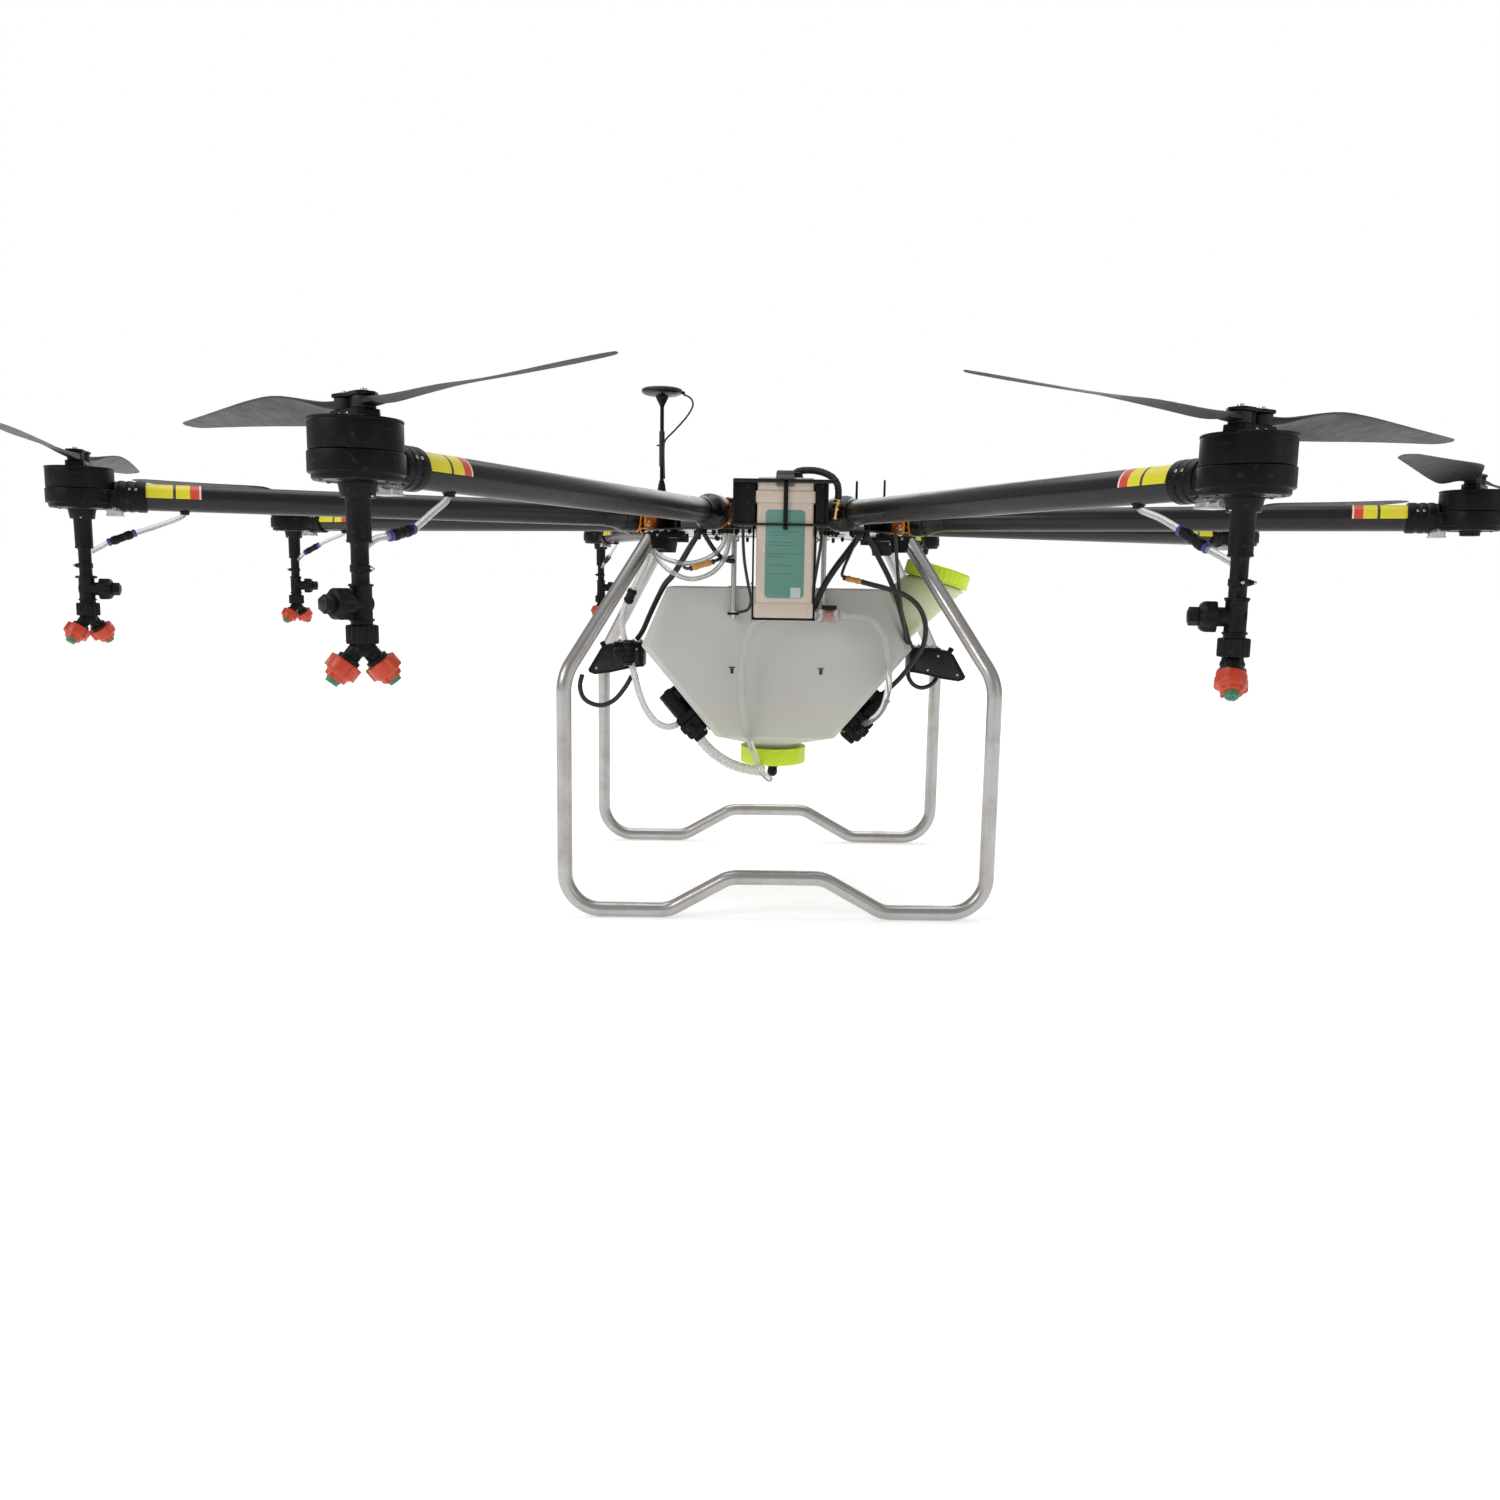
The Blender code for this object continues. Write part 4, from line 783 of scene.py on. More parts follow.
def arm_mesh(n):
    """Folding arm in a frame with its hinge pin at the origin and +X outwards."""
    s = Shape()
    s.turned([(20.0, TUBE_END), (20.0, 289.0), (18.5, 289.0), (18.5, TUBE_END)], CARBON_TUBE, TUBE_AXIS, 72, 0.3, ring=True)
    s.turned([(27.0, 265.8), (28.6, 267.0), (29.0, 269.0), (29.0, 284.5), (28.3, 285.5), (28.3, 287.0), (29.0, 288.0), (28.7, 292.0), (27.2, 296.5), (25.2, 301.0), (23.2, 306.0),
              (22.0, 311.0), (21.4, 317.0), (21.2, 322.0), (20.6, 323.0)], BLACK_SATIN, TUBE_AXIS, 72, 0.4)
    s.turned([(28.6, 262.5), (29.0, 263.0), (29.0, 265.2), (28.6, 265.7)], ORANGE_METAL, TUBE_AXIS, 72, 0.2)
    # tongue with the hinge eye, in the arm's own upright plane
    low, high = 653.9 - HINGE_Z, 692.0 - HINGE_Z
    tongue = [(17.5, low), (17.5, high), (6.0, high), (-2.5, high - 8.0), (-5.5, high - 14.0), (-5.5, low + 3.5), (-4.0, low + 1.0), (-1.0, low)]
    upright = turn("X", 90)
    s.slab(tongue[::-1], -11.4, 11.4, BLACK_ANODISED, upright, 0.6, holes=[circle(3.4, 24)[::-1]])
    for side in (-1, 1):
        for up in (-14.0, 14.0):
            spot = shift(263.5 - HINGE_R, side * 22.0, TUBE_Z - HINGE_Z + up) @ turn("Y", -90)
            s.screw(spot @ shift(z=0.6), STEEL, 2.3, 2.0)
        s.screw(shift(277 - HINGE_R, 0, TUBE_Z - HINGE_Z) @ turn("X", -90 * side) @ turn("X", 0) @ shift(z=28.6), BLACK_ANODISED, 2.6, 1.4)
    # stickers beside the motor, on the side that faces out of the front
    side = 1.0 if math.cos(math.radians(AZIMUTH[n])) < 0 else -1.0
    a, b = (-4.0, 128.0) if side > 0 else (52.0, 184.0)
    partly_turned(s, 20.16, 979.5, 1041.5, a + 90, b + 90, YELLOW, TUBE_AXIS)
    partly_turned(s, 20.16, 963.5, 979.3, a + 90, b + 90, RED, TUBE_AXIS)
    if n in WITH_NOZZLE:
        r = NOZZLE_HOSE[n][0][0][0]
        s.turned([(6.4, 651.6), (6.4, 654.5), (7.6, 655.5), (7.6, 658.5)], BLACK, shift(r - HINGE_R, 0, -HINGE_Z), 32, 0.4)
    return s.mesh(f"arm_{n}_tube")


for n in ARMS:
    x, y = HINGE_R * math.cos(math.radians(AZIMUTH[n])), HINGE_R * math.sin(math.radians(AZIMUTH[n]))
    piece(f"arm_{n}_tube", arm_mesh(n), at(x, y, HINGE_Z, AZIMUTH[n]), f"arm_{n}", [f"arm_tube_{n}"])


# ---- motor housings -----------------------------------------------------------------------
def housing_mesh(capped):
    s = Shape()
    s.turned([(45.9, 8.2), (46.8, 7.6), (46.8, -11.8), (46.0, -13.0), (43.6, -13.4), (43.2, -14.2), (43.0, -17.8), (41.6, -19.6), (30.0, -19.6), (29.6, -18.8), (20.0, -18.8)], MOTOR_BLACK, None, 96, 0.35)
    back = turn("Y", -90)
    lobes = [(21.9, 50.4), (23.4, 51.6), (23.4, 58.5), (22.5, 60.0), (22.5, 62.2), (23.4, 63.7), (23.4, 69.5), (22.5, 71.0), (22.5, 74.5), (23.4, 76.0), (23.4, 86.4), (22.2, 88.0),
             (20.15, 88.0), (20.15, 50.4)]
    s.turned(lobes, MOTOR_BLACK, back, 72, 0.4, ring=True)
    s.turned([(22.0, 46.0), (22.0, 51.0), (21.0, 52.0)], MOTOR_BLACK, back, 64, 0.3)
    neck = [(-36, -24, -16.5), (-36, 24, -16.5), (-36, -24, 7.4), (-36, 24, 7.4), (-52, -20.5, -17.5), (-52, 20.5, -17.5), (-52, -20.5, 7.4), (-52, 20.5, 7.4),
            (-58, -17.0, -17.5), (-58, 17.0, -17.5), (-58, -17.0, 6.8), (-58, 17.0, 6.8)]
    s.hull(neck, MOTOR_BLACK, None, 1.6, 3)
    for side in (-1, 1):
        # split line and its screws
        s.block((-87.5, -51), (side * 21.2, side * 23.9) if side > 0 else (side * 23.9, side * 21.2), (-0.5, 0.5), BLACK, None, 0.2)
        for up, metal in ((26.0, STEEL), (-19.0, BLACK_ANODISED)):
            for h in (66.4, 75.0):
                s.screw(shift(-h, 0, 0) @ turn("X", -side * (90 - up)) @ shift(z=22.3), metal, 1.9, 1.3)
    # marker lamp under the neck
    box = shift(-44, 0, 0)
    s.block((-10.5, 10.5), (-12.5, 12.5), (-29.6, -13.4), CLEAR_BOX, box, 1.6, 3)
    s.block((-11.6, 11.6), (-13.6, 13.6), (-29.8, -27.6), CLEAR_BOX, box, 0.8)
    s.block((-8.2, 8.2), (-10.2, 10.2), (-19.0, -17.6), LAMP_BOARD, box, 0.3)
    for i in (-1, 0, 1):
        for j in (-1, 1):
            s.block((i * 5.4 - 1.7, i * 5.4 + 1.7), (j * 5.0 - 1.9, j * 5.0 + 1.9), (-21.2, -18.8), CREAM if (i + j) % 2 else LAMP_BOARD, box, 0.3)
    if capped:
        s.turned([(15.0, -18.6), (15.0, -21.5), (13.8, -22.4), (13.8, -26.2), (12.6, -27.1)], BLACK, None, 96, 0.5, ribs=12, rib=0.9)
        s.turned([(6.0, -26.0), (6.0, -27.1)], BLACK_SATIN, None, 32, 0.2)
    for k in range(6):
        s.screw(turn("Z", 30 + 60 * k) @ shift(36.0, 0, -19.4) @ turn("X", 180), BLACK_ANODISED, 2.0, 1.2)
    return s.mesh("motor_housing_capped" if capped else "motor_housing")


HOUSING = {flag: housing_mesh(flag) for flag in (False, True)}
for n in ARMS:
    x, y = MOTOR_R * math.cos(math.radians(AZIMUTH[n])), MOTOR_R * math.sin(math.radians(AZIMUTH[n]))
    piece(f"arm_{n}_motor_housing", HOUSING[n not in WITH_NOZZLE], at(x, y, TUBE_Z, AZIMUTH[n]), f"arm_{n}", [f"motor_housing_{n}"])


# ---- rotors ---------------------------------------------------------------------------------
def rotor_mesh():
    s = Shape()
    s.turned([(45.0, -46.0), (45.5, -45.4), (45.5, -19.4), (45.2, -19.0), (45.2, -18.2), (46.0, -17.8), (46.0, -15.6), (45.4, -15.0), (40.0, -15.0), (39.4, -15.6), (24.0, -15.6), (23.4, -15.0)], MOTOR_BLACK, None, 128, 0.25)
    lower = [(-29.5, -8.5), (-25.0, -12.5), (25.0, -12.5), (29.5, -8.5), (29.5, 8.5), (25.0, 12.5), (-25.0, 12.5), (-29.5, 8.5)]
    s.slab(lower, -16.0, -6.3, BLACK_ANODISED, None, 0.8)
    s.slab(stadium(17.0, 10.6, 14), -8.4, -6.25, BLACK_ANODISED, None, 0.3)
    upper = [(-29.0, -5.0), (-23.5, -11.5), (-8.0, -11.5), (-4.5, -9.0), (4.5, -9.0), (8.0, -11.5), (23.5, -11.5), (29.0, -5.0), (29.0, 5.0), (23.5, 11.5), (8.0, 11.5), (4.5, 9.0), (-4.5, 9.0),
             (-8.0, 11.5), (-23.5, 11.5), (-29.0, 5.0)]
    s.slab(upper, 6.3, 10.0, BLACK_ANODISED, None, 0.6)
    s.turned([(5.2, -7.5), (5.2, 8.0)], BLACK_ANODISED, None, 32, 0.2)
    for x in (-17.0, 17.0):
        s.turned([(3.0, -7.0), (3.0, 7.0)], STEEL, shift(x), 24, 0.2)
        s.screw(shift(x, 0, 9.8), STEEL, 3.6, 3.8)
        s.turned([(4.6, 9.8), (4.6, 10.4)], STEEL, shift(x), 28, 0.15)
    for side in (-1, 1):
        for x in (-7.0, 7.0):
            s.screw(shift(x, side * 12.3, -11.2) @ turn("X", -90 * side), BRASS, 2.0, 1.4)
    for k in range(4):
        s.screw(turn("Z", 45 + 90 * k) @ shift(31.5, 0, -15.6), BLACK_ANODISED, 1.9, 1.2)
    return s.mesh("rotor")


ROTOR = rotor_mesh()
for n in ARMS:
    place = Matrix.Translation(MOTOR[n]) @ turn("Z", blade_way(n, "a"))
    piece(f"rotor_{n}_bell", ROTOR, place, f"rotor_{n}", [f"rotor_{n}"])


# ---- blades ---------------------------------------------------------------------------------
BLADE_LENGTH = 364.0
BLADE_RISE = 6.0
BLADE_TABLE = (
    (8.0, 17.0, 9.6, 0.0, 0.0), (18.0, 19.0, 9.6, 3.0, 0.2), (28.0, 24.0, 9.0, 8.0, 0.5), (52.0, 44.0, 7.6, 19.0, 2.0), (85.0, 59.0, 6.4, 23.0, 3.5),
    (135.0, 61.0, 5.2, 19.5, 3.5), (195.0, 54.0, 4.2, 15.5, 2.0), (255.0, 44.0, 3.4, 12.5, 0.0), (310.0, 34.0, 2.8, 10.0, -2.0),
    (345.0, 26.0, 2.2, 9.0, -3.5), (356.0, 19.5, 1.9, 8.5, -4.4), (BLADE_LENGTH, 8.0, 1.2, 8.0, -5.6),
)


def blade_law(x):
    """Smooth reading of the table: chord, thickness, pitch and sideways offset."""
    t = BLADE_TABLE
    for i in range(len(t) - 1):
        if x <= t[i + 1][0] + 1e-6:
            break
    a, b = t[i], t[i + 1]
    before, after = t[max(0, i - 1)], t[min(len(t) - 1, i + 2)]
    h = b[0] - a[0]
    u = (x - a[0]) / h
    out = []
    for k in range(1, 5):
        ma = (b[k] - before[k]) / max(1e-6, b[0] - before[0]) * h
        mb = (after[k] - a[k]) / max(1e-6, after[0] - a[0]) * h
        out.append((2 * u ** 3 - 3 * u ** 2 + 1) * a[k] + (u ** 3 - 2 * u ** 2 + u) * ma + (-2 * u ** 3 + 3 * u ** 2) * b[k] + (u ** 3 - u ** 2) * mb)
    return out


def blade_mesh(ccw):
    side = 1.0 if ccw else -1.0
    s = Shape()
    bm = bmesh.new()
    section = []
    for i in range(13):
        q = 0.5 + 0.5 * math.cos(math.pi * i / 12)
        thick = 2.6 * (0.2969 * math.sqrt(1 - q + 1e-9) if q > 0.999 else 0.2969 * math.sqrt(max(0.0, 1 - q)) - 0.126 * (1 - q) - 0.3516 * (1 - q) ** 2 + 0.2843 * (1 - q) ** 3 - 0.0936 * (1 - q) ** 4)
        section.append((q - 0.5, max(0.06, thick * 2.2)))
    xs = sorted({round(v, 1) for v in [8, 12, 18, 24, 31, 38, 46, 54, 64, 76, 90, 106, 124, 144, 166, 190, 215, 240, 265, 290, 312, 330, 343, 350, 355, 359, 362, BLADE_LENGTH]})
    rings = []
    for x in xs:
        chord, thick, pitch, offset = blade_law(x)
        p = math.radians(pitch)
        ring = []
        root = max(0.0, 1.0 - (x - 8.0) / 50.0)
        for way in (1, -1):
            row = section if way > 0 else section[::-1][1:-1]
            for along, half in row:
                camber = 0.28 * (1 - (2 * along) ** 2) * (1 - root)
                half = half * (1 - root) + root * math.sqrt(max(0.02, 1 - (2 * along) ** 4)) * 1.0
                y = along * chord
                z = (way * half * 0.5 + camber) * thick
                ring.append(bm.verts.new((x, side * (y * math.cos(p) - z * math.sin(p) + offset), y * math.sin(p) + z * math.cos(p) + BLADE_RISE * max(0.0, x - 28.0) / (BLADE_LENGTH - 28.0))))
        rings.append(ring)
    n = len(rings[0])
    for a, b in zip(rings, rings[1:]):
        for i in range(n):
            j = (i + 1) % n
            bm.faces.new((a[i], a[j], b[j], b[i]))
    bm.faces.new(rings[0])
    bm.faces.new(rings[-1])
    s.take(bm, BLADE)
    s.turned([(10.2, -5.9), (11.0, -5.2), (11.0, 5.2), (10.2, 5.9), (4.6, 5.9), (4.3, 5.5), (4.3, -5.5), (4.6, -5.9)], BLADE, None, 48, 0.3, ring=True)
    s.turned([(4.25, -5.85), (4.25, 5.85), (3.3, 5.85), (3.3, -5.85)], BRASS, None, 32, 0.1, ring=True)
    return s.mesh("blade_ccw" if ccw else "blade_cw")


def turns_ccw(n):
    """The leading edge is the broad side that stands further out sideways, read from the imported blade."""
    node = frame["nodes"][f"blade_{n}a"]
    back = (Matrix.Translation(Vector(JOINTS[f"blade_fold_{n}a"]["pos_m"])) @ turn("Z", blade_way(n, "a"))).inverted()
    points = [back @ v.co for v in node.data.vertices]
    broad = [p for p in points if 0.05 < p.x < 0.20]
    upper = max(broad, key=lambda p: p.z)
    return upper.y > 0


BLADES = {flag: blade_mesh(flag) for flag in (True, False)}
for n in ARMS:
    ccw = turns_ccw(n)
    for letter in "ab":
        mesh = BLADES[ccw].copy()
        mesh.transform(turn("Z", blade_way(n, letter)))
        place = Matrix.Translation(Vector(JOINTS[f"blade_fold_{n}{letter}"]["pos_m"]))
        piece(f"rotor_{n}_blade_{letter}", mesh, place, f"blade_{n}{letter}", [f"blade_{n}{letter}"])


# ---- drop nozzles -----------------------------------------------------------------------------
def nozzle_ways(n):
    """Directions of the valve knob and of the two spray branches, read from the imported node."""
    node = frame["nodes"][f"nozzle_{n}"]
    axis = MOTOR[n]
    points = [(v.co - axis) / MM for v in node.data.vertices]
    points = [Vector((p.x, p.y, p.z + axis.z / MM)) for p in points]
    knob = max((p for p in points if p.z > 526), key=lambda p: p.xy.length if p.z < 549 else 0)
    knobs = [p for p in points if 526 < p.z < 549 and p.xy.length > knob.xy.length - 1.0]
    k = sum(knobs, Vector()) / len(knobs)
    tips = [p for p in points if p.z < 472 and p.xy.length > 24]
    far = max(tips, key=lambda p: p.xy.length)
    near = [p for p in tips if p.xy.dot(far.xy) > 0]
    t = sum(near, Vector()) / len(near)
    return math.degrees(math.atan2(k.y, k.x)), math.degrees(math.atan2(t.y, t.x))


def nozzle_mesh(n):
    s = Shape()
    knob, split = nozzle_ways(n)
    hub_side = AZIMUTH[n] + 180.0
    s.turned([(19.0, 655.8), (19.0, 653.5), (18.4, 652.5), (16.8, 642.2), (16.2, 641.0), (12.6, 641.0), (12.3, 639.5), (12.0, 600.5), (12.6, 599.8), (12.6, 597.6), (9.4, 597.0), (8.8, 595.0), (8.8, 576.0),
              (10.0, 575.4), (10.0, 568.6), (8.8, 568.0), (8.8, 557.4), (12.4, 556.8), (12.4, 555.0), (10.8, 554.2), (10.8, 523.0), (12.5, 522.2), (12.5, 520.4), (10.8, 519.8), (10.8, 516.0)],
             BLACK, None, 56, 0.5)
    s.turned([(10.5, 517.0), (15.2, 516.2), (16.0, 515.2), (16.0, 498.6), (15.2, 497.6), (10.5, 497.0)], BLACK, None, 108, 0.4, ribs=18, rib=1.3)
    s.turned([(10.5, 498.5), (10.8, 494.0), (12.6, 490.0), (11.0, 485.6), (0.0, 484.0)], BLACK, None, 40, 1.0)
    for side in (-1, 1):
        s.screw(turn("Z", hub_side + 90 * side) @ shift(17.4, 0, 643.6) @ turn("X", 180) @ shift(z=0.8), STEEL, 1.6, 1.0)
        s.block((9.5, 14.5), (-2.4, 2.4), (553.2, 556.6), BLACK, turn("Z", hub_side + 90 + 90 * side), 0.7)
    # set screws through the drop tube, with bright tips
    for way, tip in ((knob + 180.0, True), (knob + 95.0, False)):
        place = turn("Z", way) @ shift(0, 0, 572.0) @ turn("Y", 90)
        s.turned([(3.4, 8.0), (3.4, 12.0), (2.4, 12.6), (2.4, 14.5)], BLACK, place, 24, 0.3)
        s.turned([(1.7, 13.0), (1.7, 16.8), (1.2, 17.4)], BRASS if tip else STEEL, place, 16, 0.2)
    # diaphragm check valve
    side = turn("Z", knob) @ shift(0, 0, 537.5) @ turn("Y", 90)
    s.turned([(8.5, -9.5), (9.4, -8.0), (9.4, 0.0), (9.8, 10.0), (9.8, 19.0)], BLACK, side, 40, 0.6)
    s.turned([(9.8, 18.0), (16.0, 18.8), (16.5, 19.6), (16.5, 29.5), (15.4, 32.4), (12.8, 34.6), (9.8, 35.6)], BLACK, side, 96, 0.4, ribs=8, rib=1.5)
    s.slab(circle(9.6, 6), 35.0, 45.6, BLACK, side, 0.8)
    s.turned([(7.0, 45.0), (7.0, 46.4), (3.6, 46.9)], BLACK_SATIN, side, 32, 0.3)
    # two bayonet caps with spray tips
    for way in (0.0, 180.0):
        lean = shift(0, 0, 499) @ turn("Z", split + way) @ turn("Y", 142)
        s.turned([(8.5, 0), (8.5, 19.0), (11.5, 20.0), (11.5, 25.2)], BLACK, lean, 40, 0.5)
        s.turned([(11.0, 24.0), (13.6, 24.4), (14.4, 25.4), (14.4, 36.5), (13.4, 39.5), (11.6, 41.4), (11.2, 45.2), (10.2, 46.0), (7.4, 46.0)], ORANGE_CAP, lean, 72, 0.5)
        for wing in (0, 180):
            w = lean @ turn("Z", wing + 40)
            s.slab([(10.0, -8.5), (15.0, -7.8), (16.6, -5.0), (16.6, 5.0), (15.0, 7.8), (10.0, 8.5)], 24.8, 39.0, ORANGE_CAP, w, 0.9)
            s.block((8.8, 12.4), (-1.6, 1.6), (38.0, 46.6), ORANGE_CAP, w @ turn("Z", 90), 0.5)
        s.turned([(7.6, 44.0), (7.6, 47.4), (6.9, 48.6), (6.6, 51.0), (2.6, 51.0), (2.2, 49.6)], GREEN_TIP, lean, 40, 0.4)
        s.block((-6.6, 6.6), (-1.5, 1.5), (47.5, 51.4), GREEN_TIP, lean @ turn("Z", 20), 0.4)
    return s.mesh(f"arm_{n}_nozzle")


for n in WITH_NOZZLE:
    x, y = MOTOR_R * math.cos(math.radians(AZIMUTH[n])), MOTOR_R * math.sin(math.radians(AZIMUTH[n]))
    piece(f"arm_{n}_nozzle", nozzle_mesh(n), at(x, y, 0.0), f"arm_{n}", [f"nozzle_{n}"])


# ---- hub --------------------------------------------------------------------------------------
def hub_lower():
    s = Shape()
    holes = [circle(38, 56)[::-1]]
    for i in range(8):
        a = math.radians(22.5 + 45 * i)
        holes.append(circle(24, 40, 120 * math.cos(a), 120 * math.sin(a))[::-1])
        a = math.radians(45 * i)
        holes.append(circle(4, 16, 196 * math.cos(a), 196 * math.sin(a))[::-1])
    s.slab(circle(238, 128), 650.0, 653.3, CARBON_PLATE, None, 0.4, holes)
    for n in ARMS:
        way = turn("Z", AZIMUTH[n])
        upright = way @ turn("X", 90)
        cheek = [(231, 653.3), (256, 653.3), (256.0, 690.0), (252.0, 696.8), (231, 696.8)]
        inner = [(207, 653.3), (230.8, 653.3), (230.8, 696.8), (207, 696.8)]
        for y0, y1 in ((12.0, 17.5), (-17.5, -12.0)):
            slot = [(x, z) for z, x in stadium(4.5, 4.2, 8, 683.0, 242.0)]
            s.slab(cheek, y0, y1, ORANGE_METAL, upright, 0.7, [slot])
            s.slab(inner, y0, y1, BLACK_ANODISED, upright, 0.7)
        s.block((206.0, 235.5), (-12.2, 12.2), (653.3, 696.8), BLACK_ANODISED, way, 0.8)
        s.block((203.5, 206.5), (-24.0, 24.0), (653.3, 697.0), BLACK_ANODISED, way, 0.6)
        pin = way @ shift(246, 0, 661) @ turn("X", 90)
        s.turned([(3.0, -19.6), (3.0, 19.6)], STEEL, pin, 28, 0.2)
        for side in (-1, 1):
            s.turned([(4.6, 17.6), (4.6, 19.4), (3.6, 20.4)], STEEL, pin @ turn("X", 0 if side > 0 else 180), 28, 0.3)
            for r in (213.0, 228.0):
                s.screw(way @ shift(r, side * 7.0, 650.2) @ turn("X", 180), BLACK, 3.4, 7.5, hexagon=True)
            s.screw(way @ shift(219.0, side * 21.5, 650.2) @ turn("X", 180), BLACK, 3.2, 6.5, hexagon=True)
    for i in range(16):
        way = turn("Z", 11.25 + 22.5 * i)
        s.screw(way @ shift(231.0, 0, 650.2) @ turn("X", 180), BLACK, 3.0, 7.0, hexagon=True)
    for i in range(24):
        way = turn("Z", 7.5 + 15 * i)
        s.screw(way @ shift(176.0, 0, 650.2) @ turn("X", 180), BLACK, 3.0, 7.0, hexagon=True)
    # cable grommets at the front edge, and two bright screws
    for x, y, r in ((-128, -213, 7.5), (-122, -205, 5.5), (142, -206, 8.5), (136, -214, 5.0), (153, -208, 5.5), (-85, -213, 6.5), (-78, -212, 6.5)):
        s.turned([(r * 0.8, 643.0), (r, 644.0), (r, 649.0), (r + 1.4, 650.1)], BLACK, shift(x, y), 32, 0.4)
    for x, y in ((-125.4, -193.0), (134.2, -190.0)):
        s.screw(shift(x, y, 650.2) @ turn("X", 180), BRASS, 3.0, 3.4)
    return s.mesh("hub_lower_deck")


piece("hub_lower_deck", hub_lower(), at(0, 0, 0), "frame", ["hub_lower_plate"])


def hub_upper():
    s = Shape()
    holes = [circle(38, 56)[::-1]]
    for i in range(8):
        a = math.radians(22.5 + 45 * i)
        holes.append(circle(24, 40, 120 * math.cos(a), 120 * math.sin(a))[::-1])
    s.slab(circle(238, 128), 697.2, 700.2, CARBON_PLATE, None, 0.4, holes)
    s.turned([(15.4, 699.5), (15.4, 703.5), (14.6, 705.6), (11.0, 709.0), (9.2, 715.0), (7.8, 727.0), (6.6, 737.0), (5.6, 741.0)], BLACK, shift(-207, 4), 48, 0.8)
    for k in range(3):
        s.screw(shift(-207, 4) @ turn("Z", 30 + 120 * k) @ shift(12.2, 0, 703.6), STEEL, 1.7, 1.2)
    for n in ARMS:
        way = turn("Z", AZIMUTH[n])
        for side in (-1, 1):
            for r in (213.0, 228.0):
                s.screw(way @ shift(r, side * 7.0, 700.1), BLACK_SATIN, 3.0, 2.6)
        s.screw(way @ shift(204.8, 20, 700.1), BLACK_SATIN, 2.6, 2.2)
        s.screw(way @ shift(204.8, -20, 700.1), BLACK_SATIN, 2.6, 2.2)
    for i in range(16):
        s.screw(turn("Z", 11.25 + 22.5 * i) @ shift(231.0, 0, 700.1), BLACK_SATIN, 2.4, 1.8)
    # spacers between the two decks
    for i in range(8):
        s.turned([(5.0, 653.4), (5.0, 697.1)], BLACK_ANODISED, turn("Z", 45 * i) @ shift(176, 0), 20, 0.4)
    return s.mesh("hub_upper_deck")


piece("hub_upper_deck", hub_upper(), at(0, 0, 0), "frame", ["hub_upper_plate"])

# slim aerials standing at the edge of the deck
for name, x, y, low, high in (("aerial_left_small", 139.8, -150, 700.2, 738), ("aerial_right_small", 206, 0, 700.2, 753)):
    s = Shape()
    s.turned([(4.6, low), (4.6, low + 4), (3.2, low + 6), (2.2, low + 7), (2.0, high - 2), (1.2, high)], BLACK, shift(x, y), 24, 0.4)
    piece(name, s.mesh(name), at(0, 0, 0), "frame")


# ---- landing gear -----------------------------------------------------------------------------
def gear_mesh(front):
    s = Shape()
    sign = -1.0 if front else 1.0
    half = [(225.0, sign * 154.0, 634.0), (355.0, sign * 296.0, 405.0), (355.0, sign * 296.0, 12.5), (180.0, sign * 296.0, 12.5), (78.5, sign * 296.0, 70.0)]
    corners = half + [(-x, y, z) for x, y, z in reversed(half)]
    radii = [75.0, 62.0, 55.0, 55.0]
    s.swept(filleted(corners, radii + radii[::-1], 14), 12.5, ALUMINIUM, around=40)
    for side in (-1, 1):
        inward = shift(side * 225.0, sign * 154.0) @ turn("Z", math.degrees(math.atan2(-sign * 154.0, -side * 225.0)))
        outline = [(-6, 624.0), (4, 617.0), (26, 617.0), (30, 637.0), (58, 637.0), (58, 649.4), (42, 649.4), (42, 645.0), (-6, 645.0)]
        s.slab(outline, -14.5, 14.5, BLACK, inward @ turn("X", 90), 1.2)
        for k in (-1, 1):
            for x, z in ((6.0, 640.0), (21.0, 622.5), (50.0, 643.0)):
                s.screw(inward @ shift(x, k * 14.5, z) @ turn("X", -90 * k), STEEL if x == 6.0 else BLACK_SATIN, 2.2, 1.6)
            s.block((5, 25), (k * 14.5 - 0.6, k * 14.5 + 0.6), (630.4, 631.4), BLACK_SATIN, inward, 0.2)
    return s.mesh("gear_front" if front else "gear_rear")


for name, front in (("front", True), ("rear", False)):
    piece(f"landing_hoop_{name}", gear_mesh(front), at(PAYLOAD, 0, 0), "frame", [f"landing_gear_{name}"])


# ---- tank and its caps ------------------------------------------------------------------------
FILLER = shift(304.0, 0.0, 590.0) @ turn("Y", 16.0)


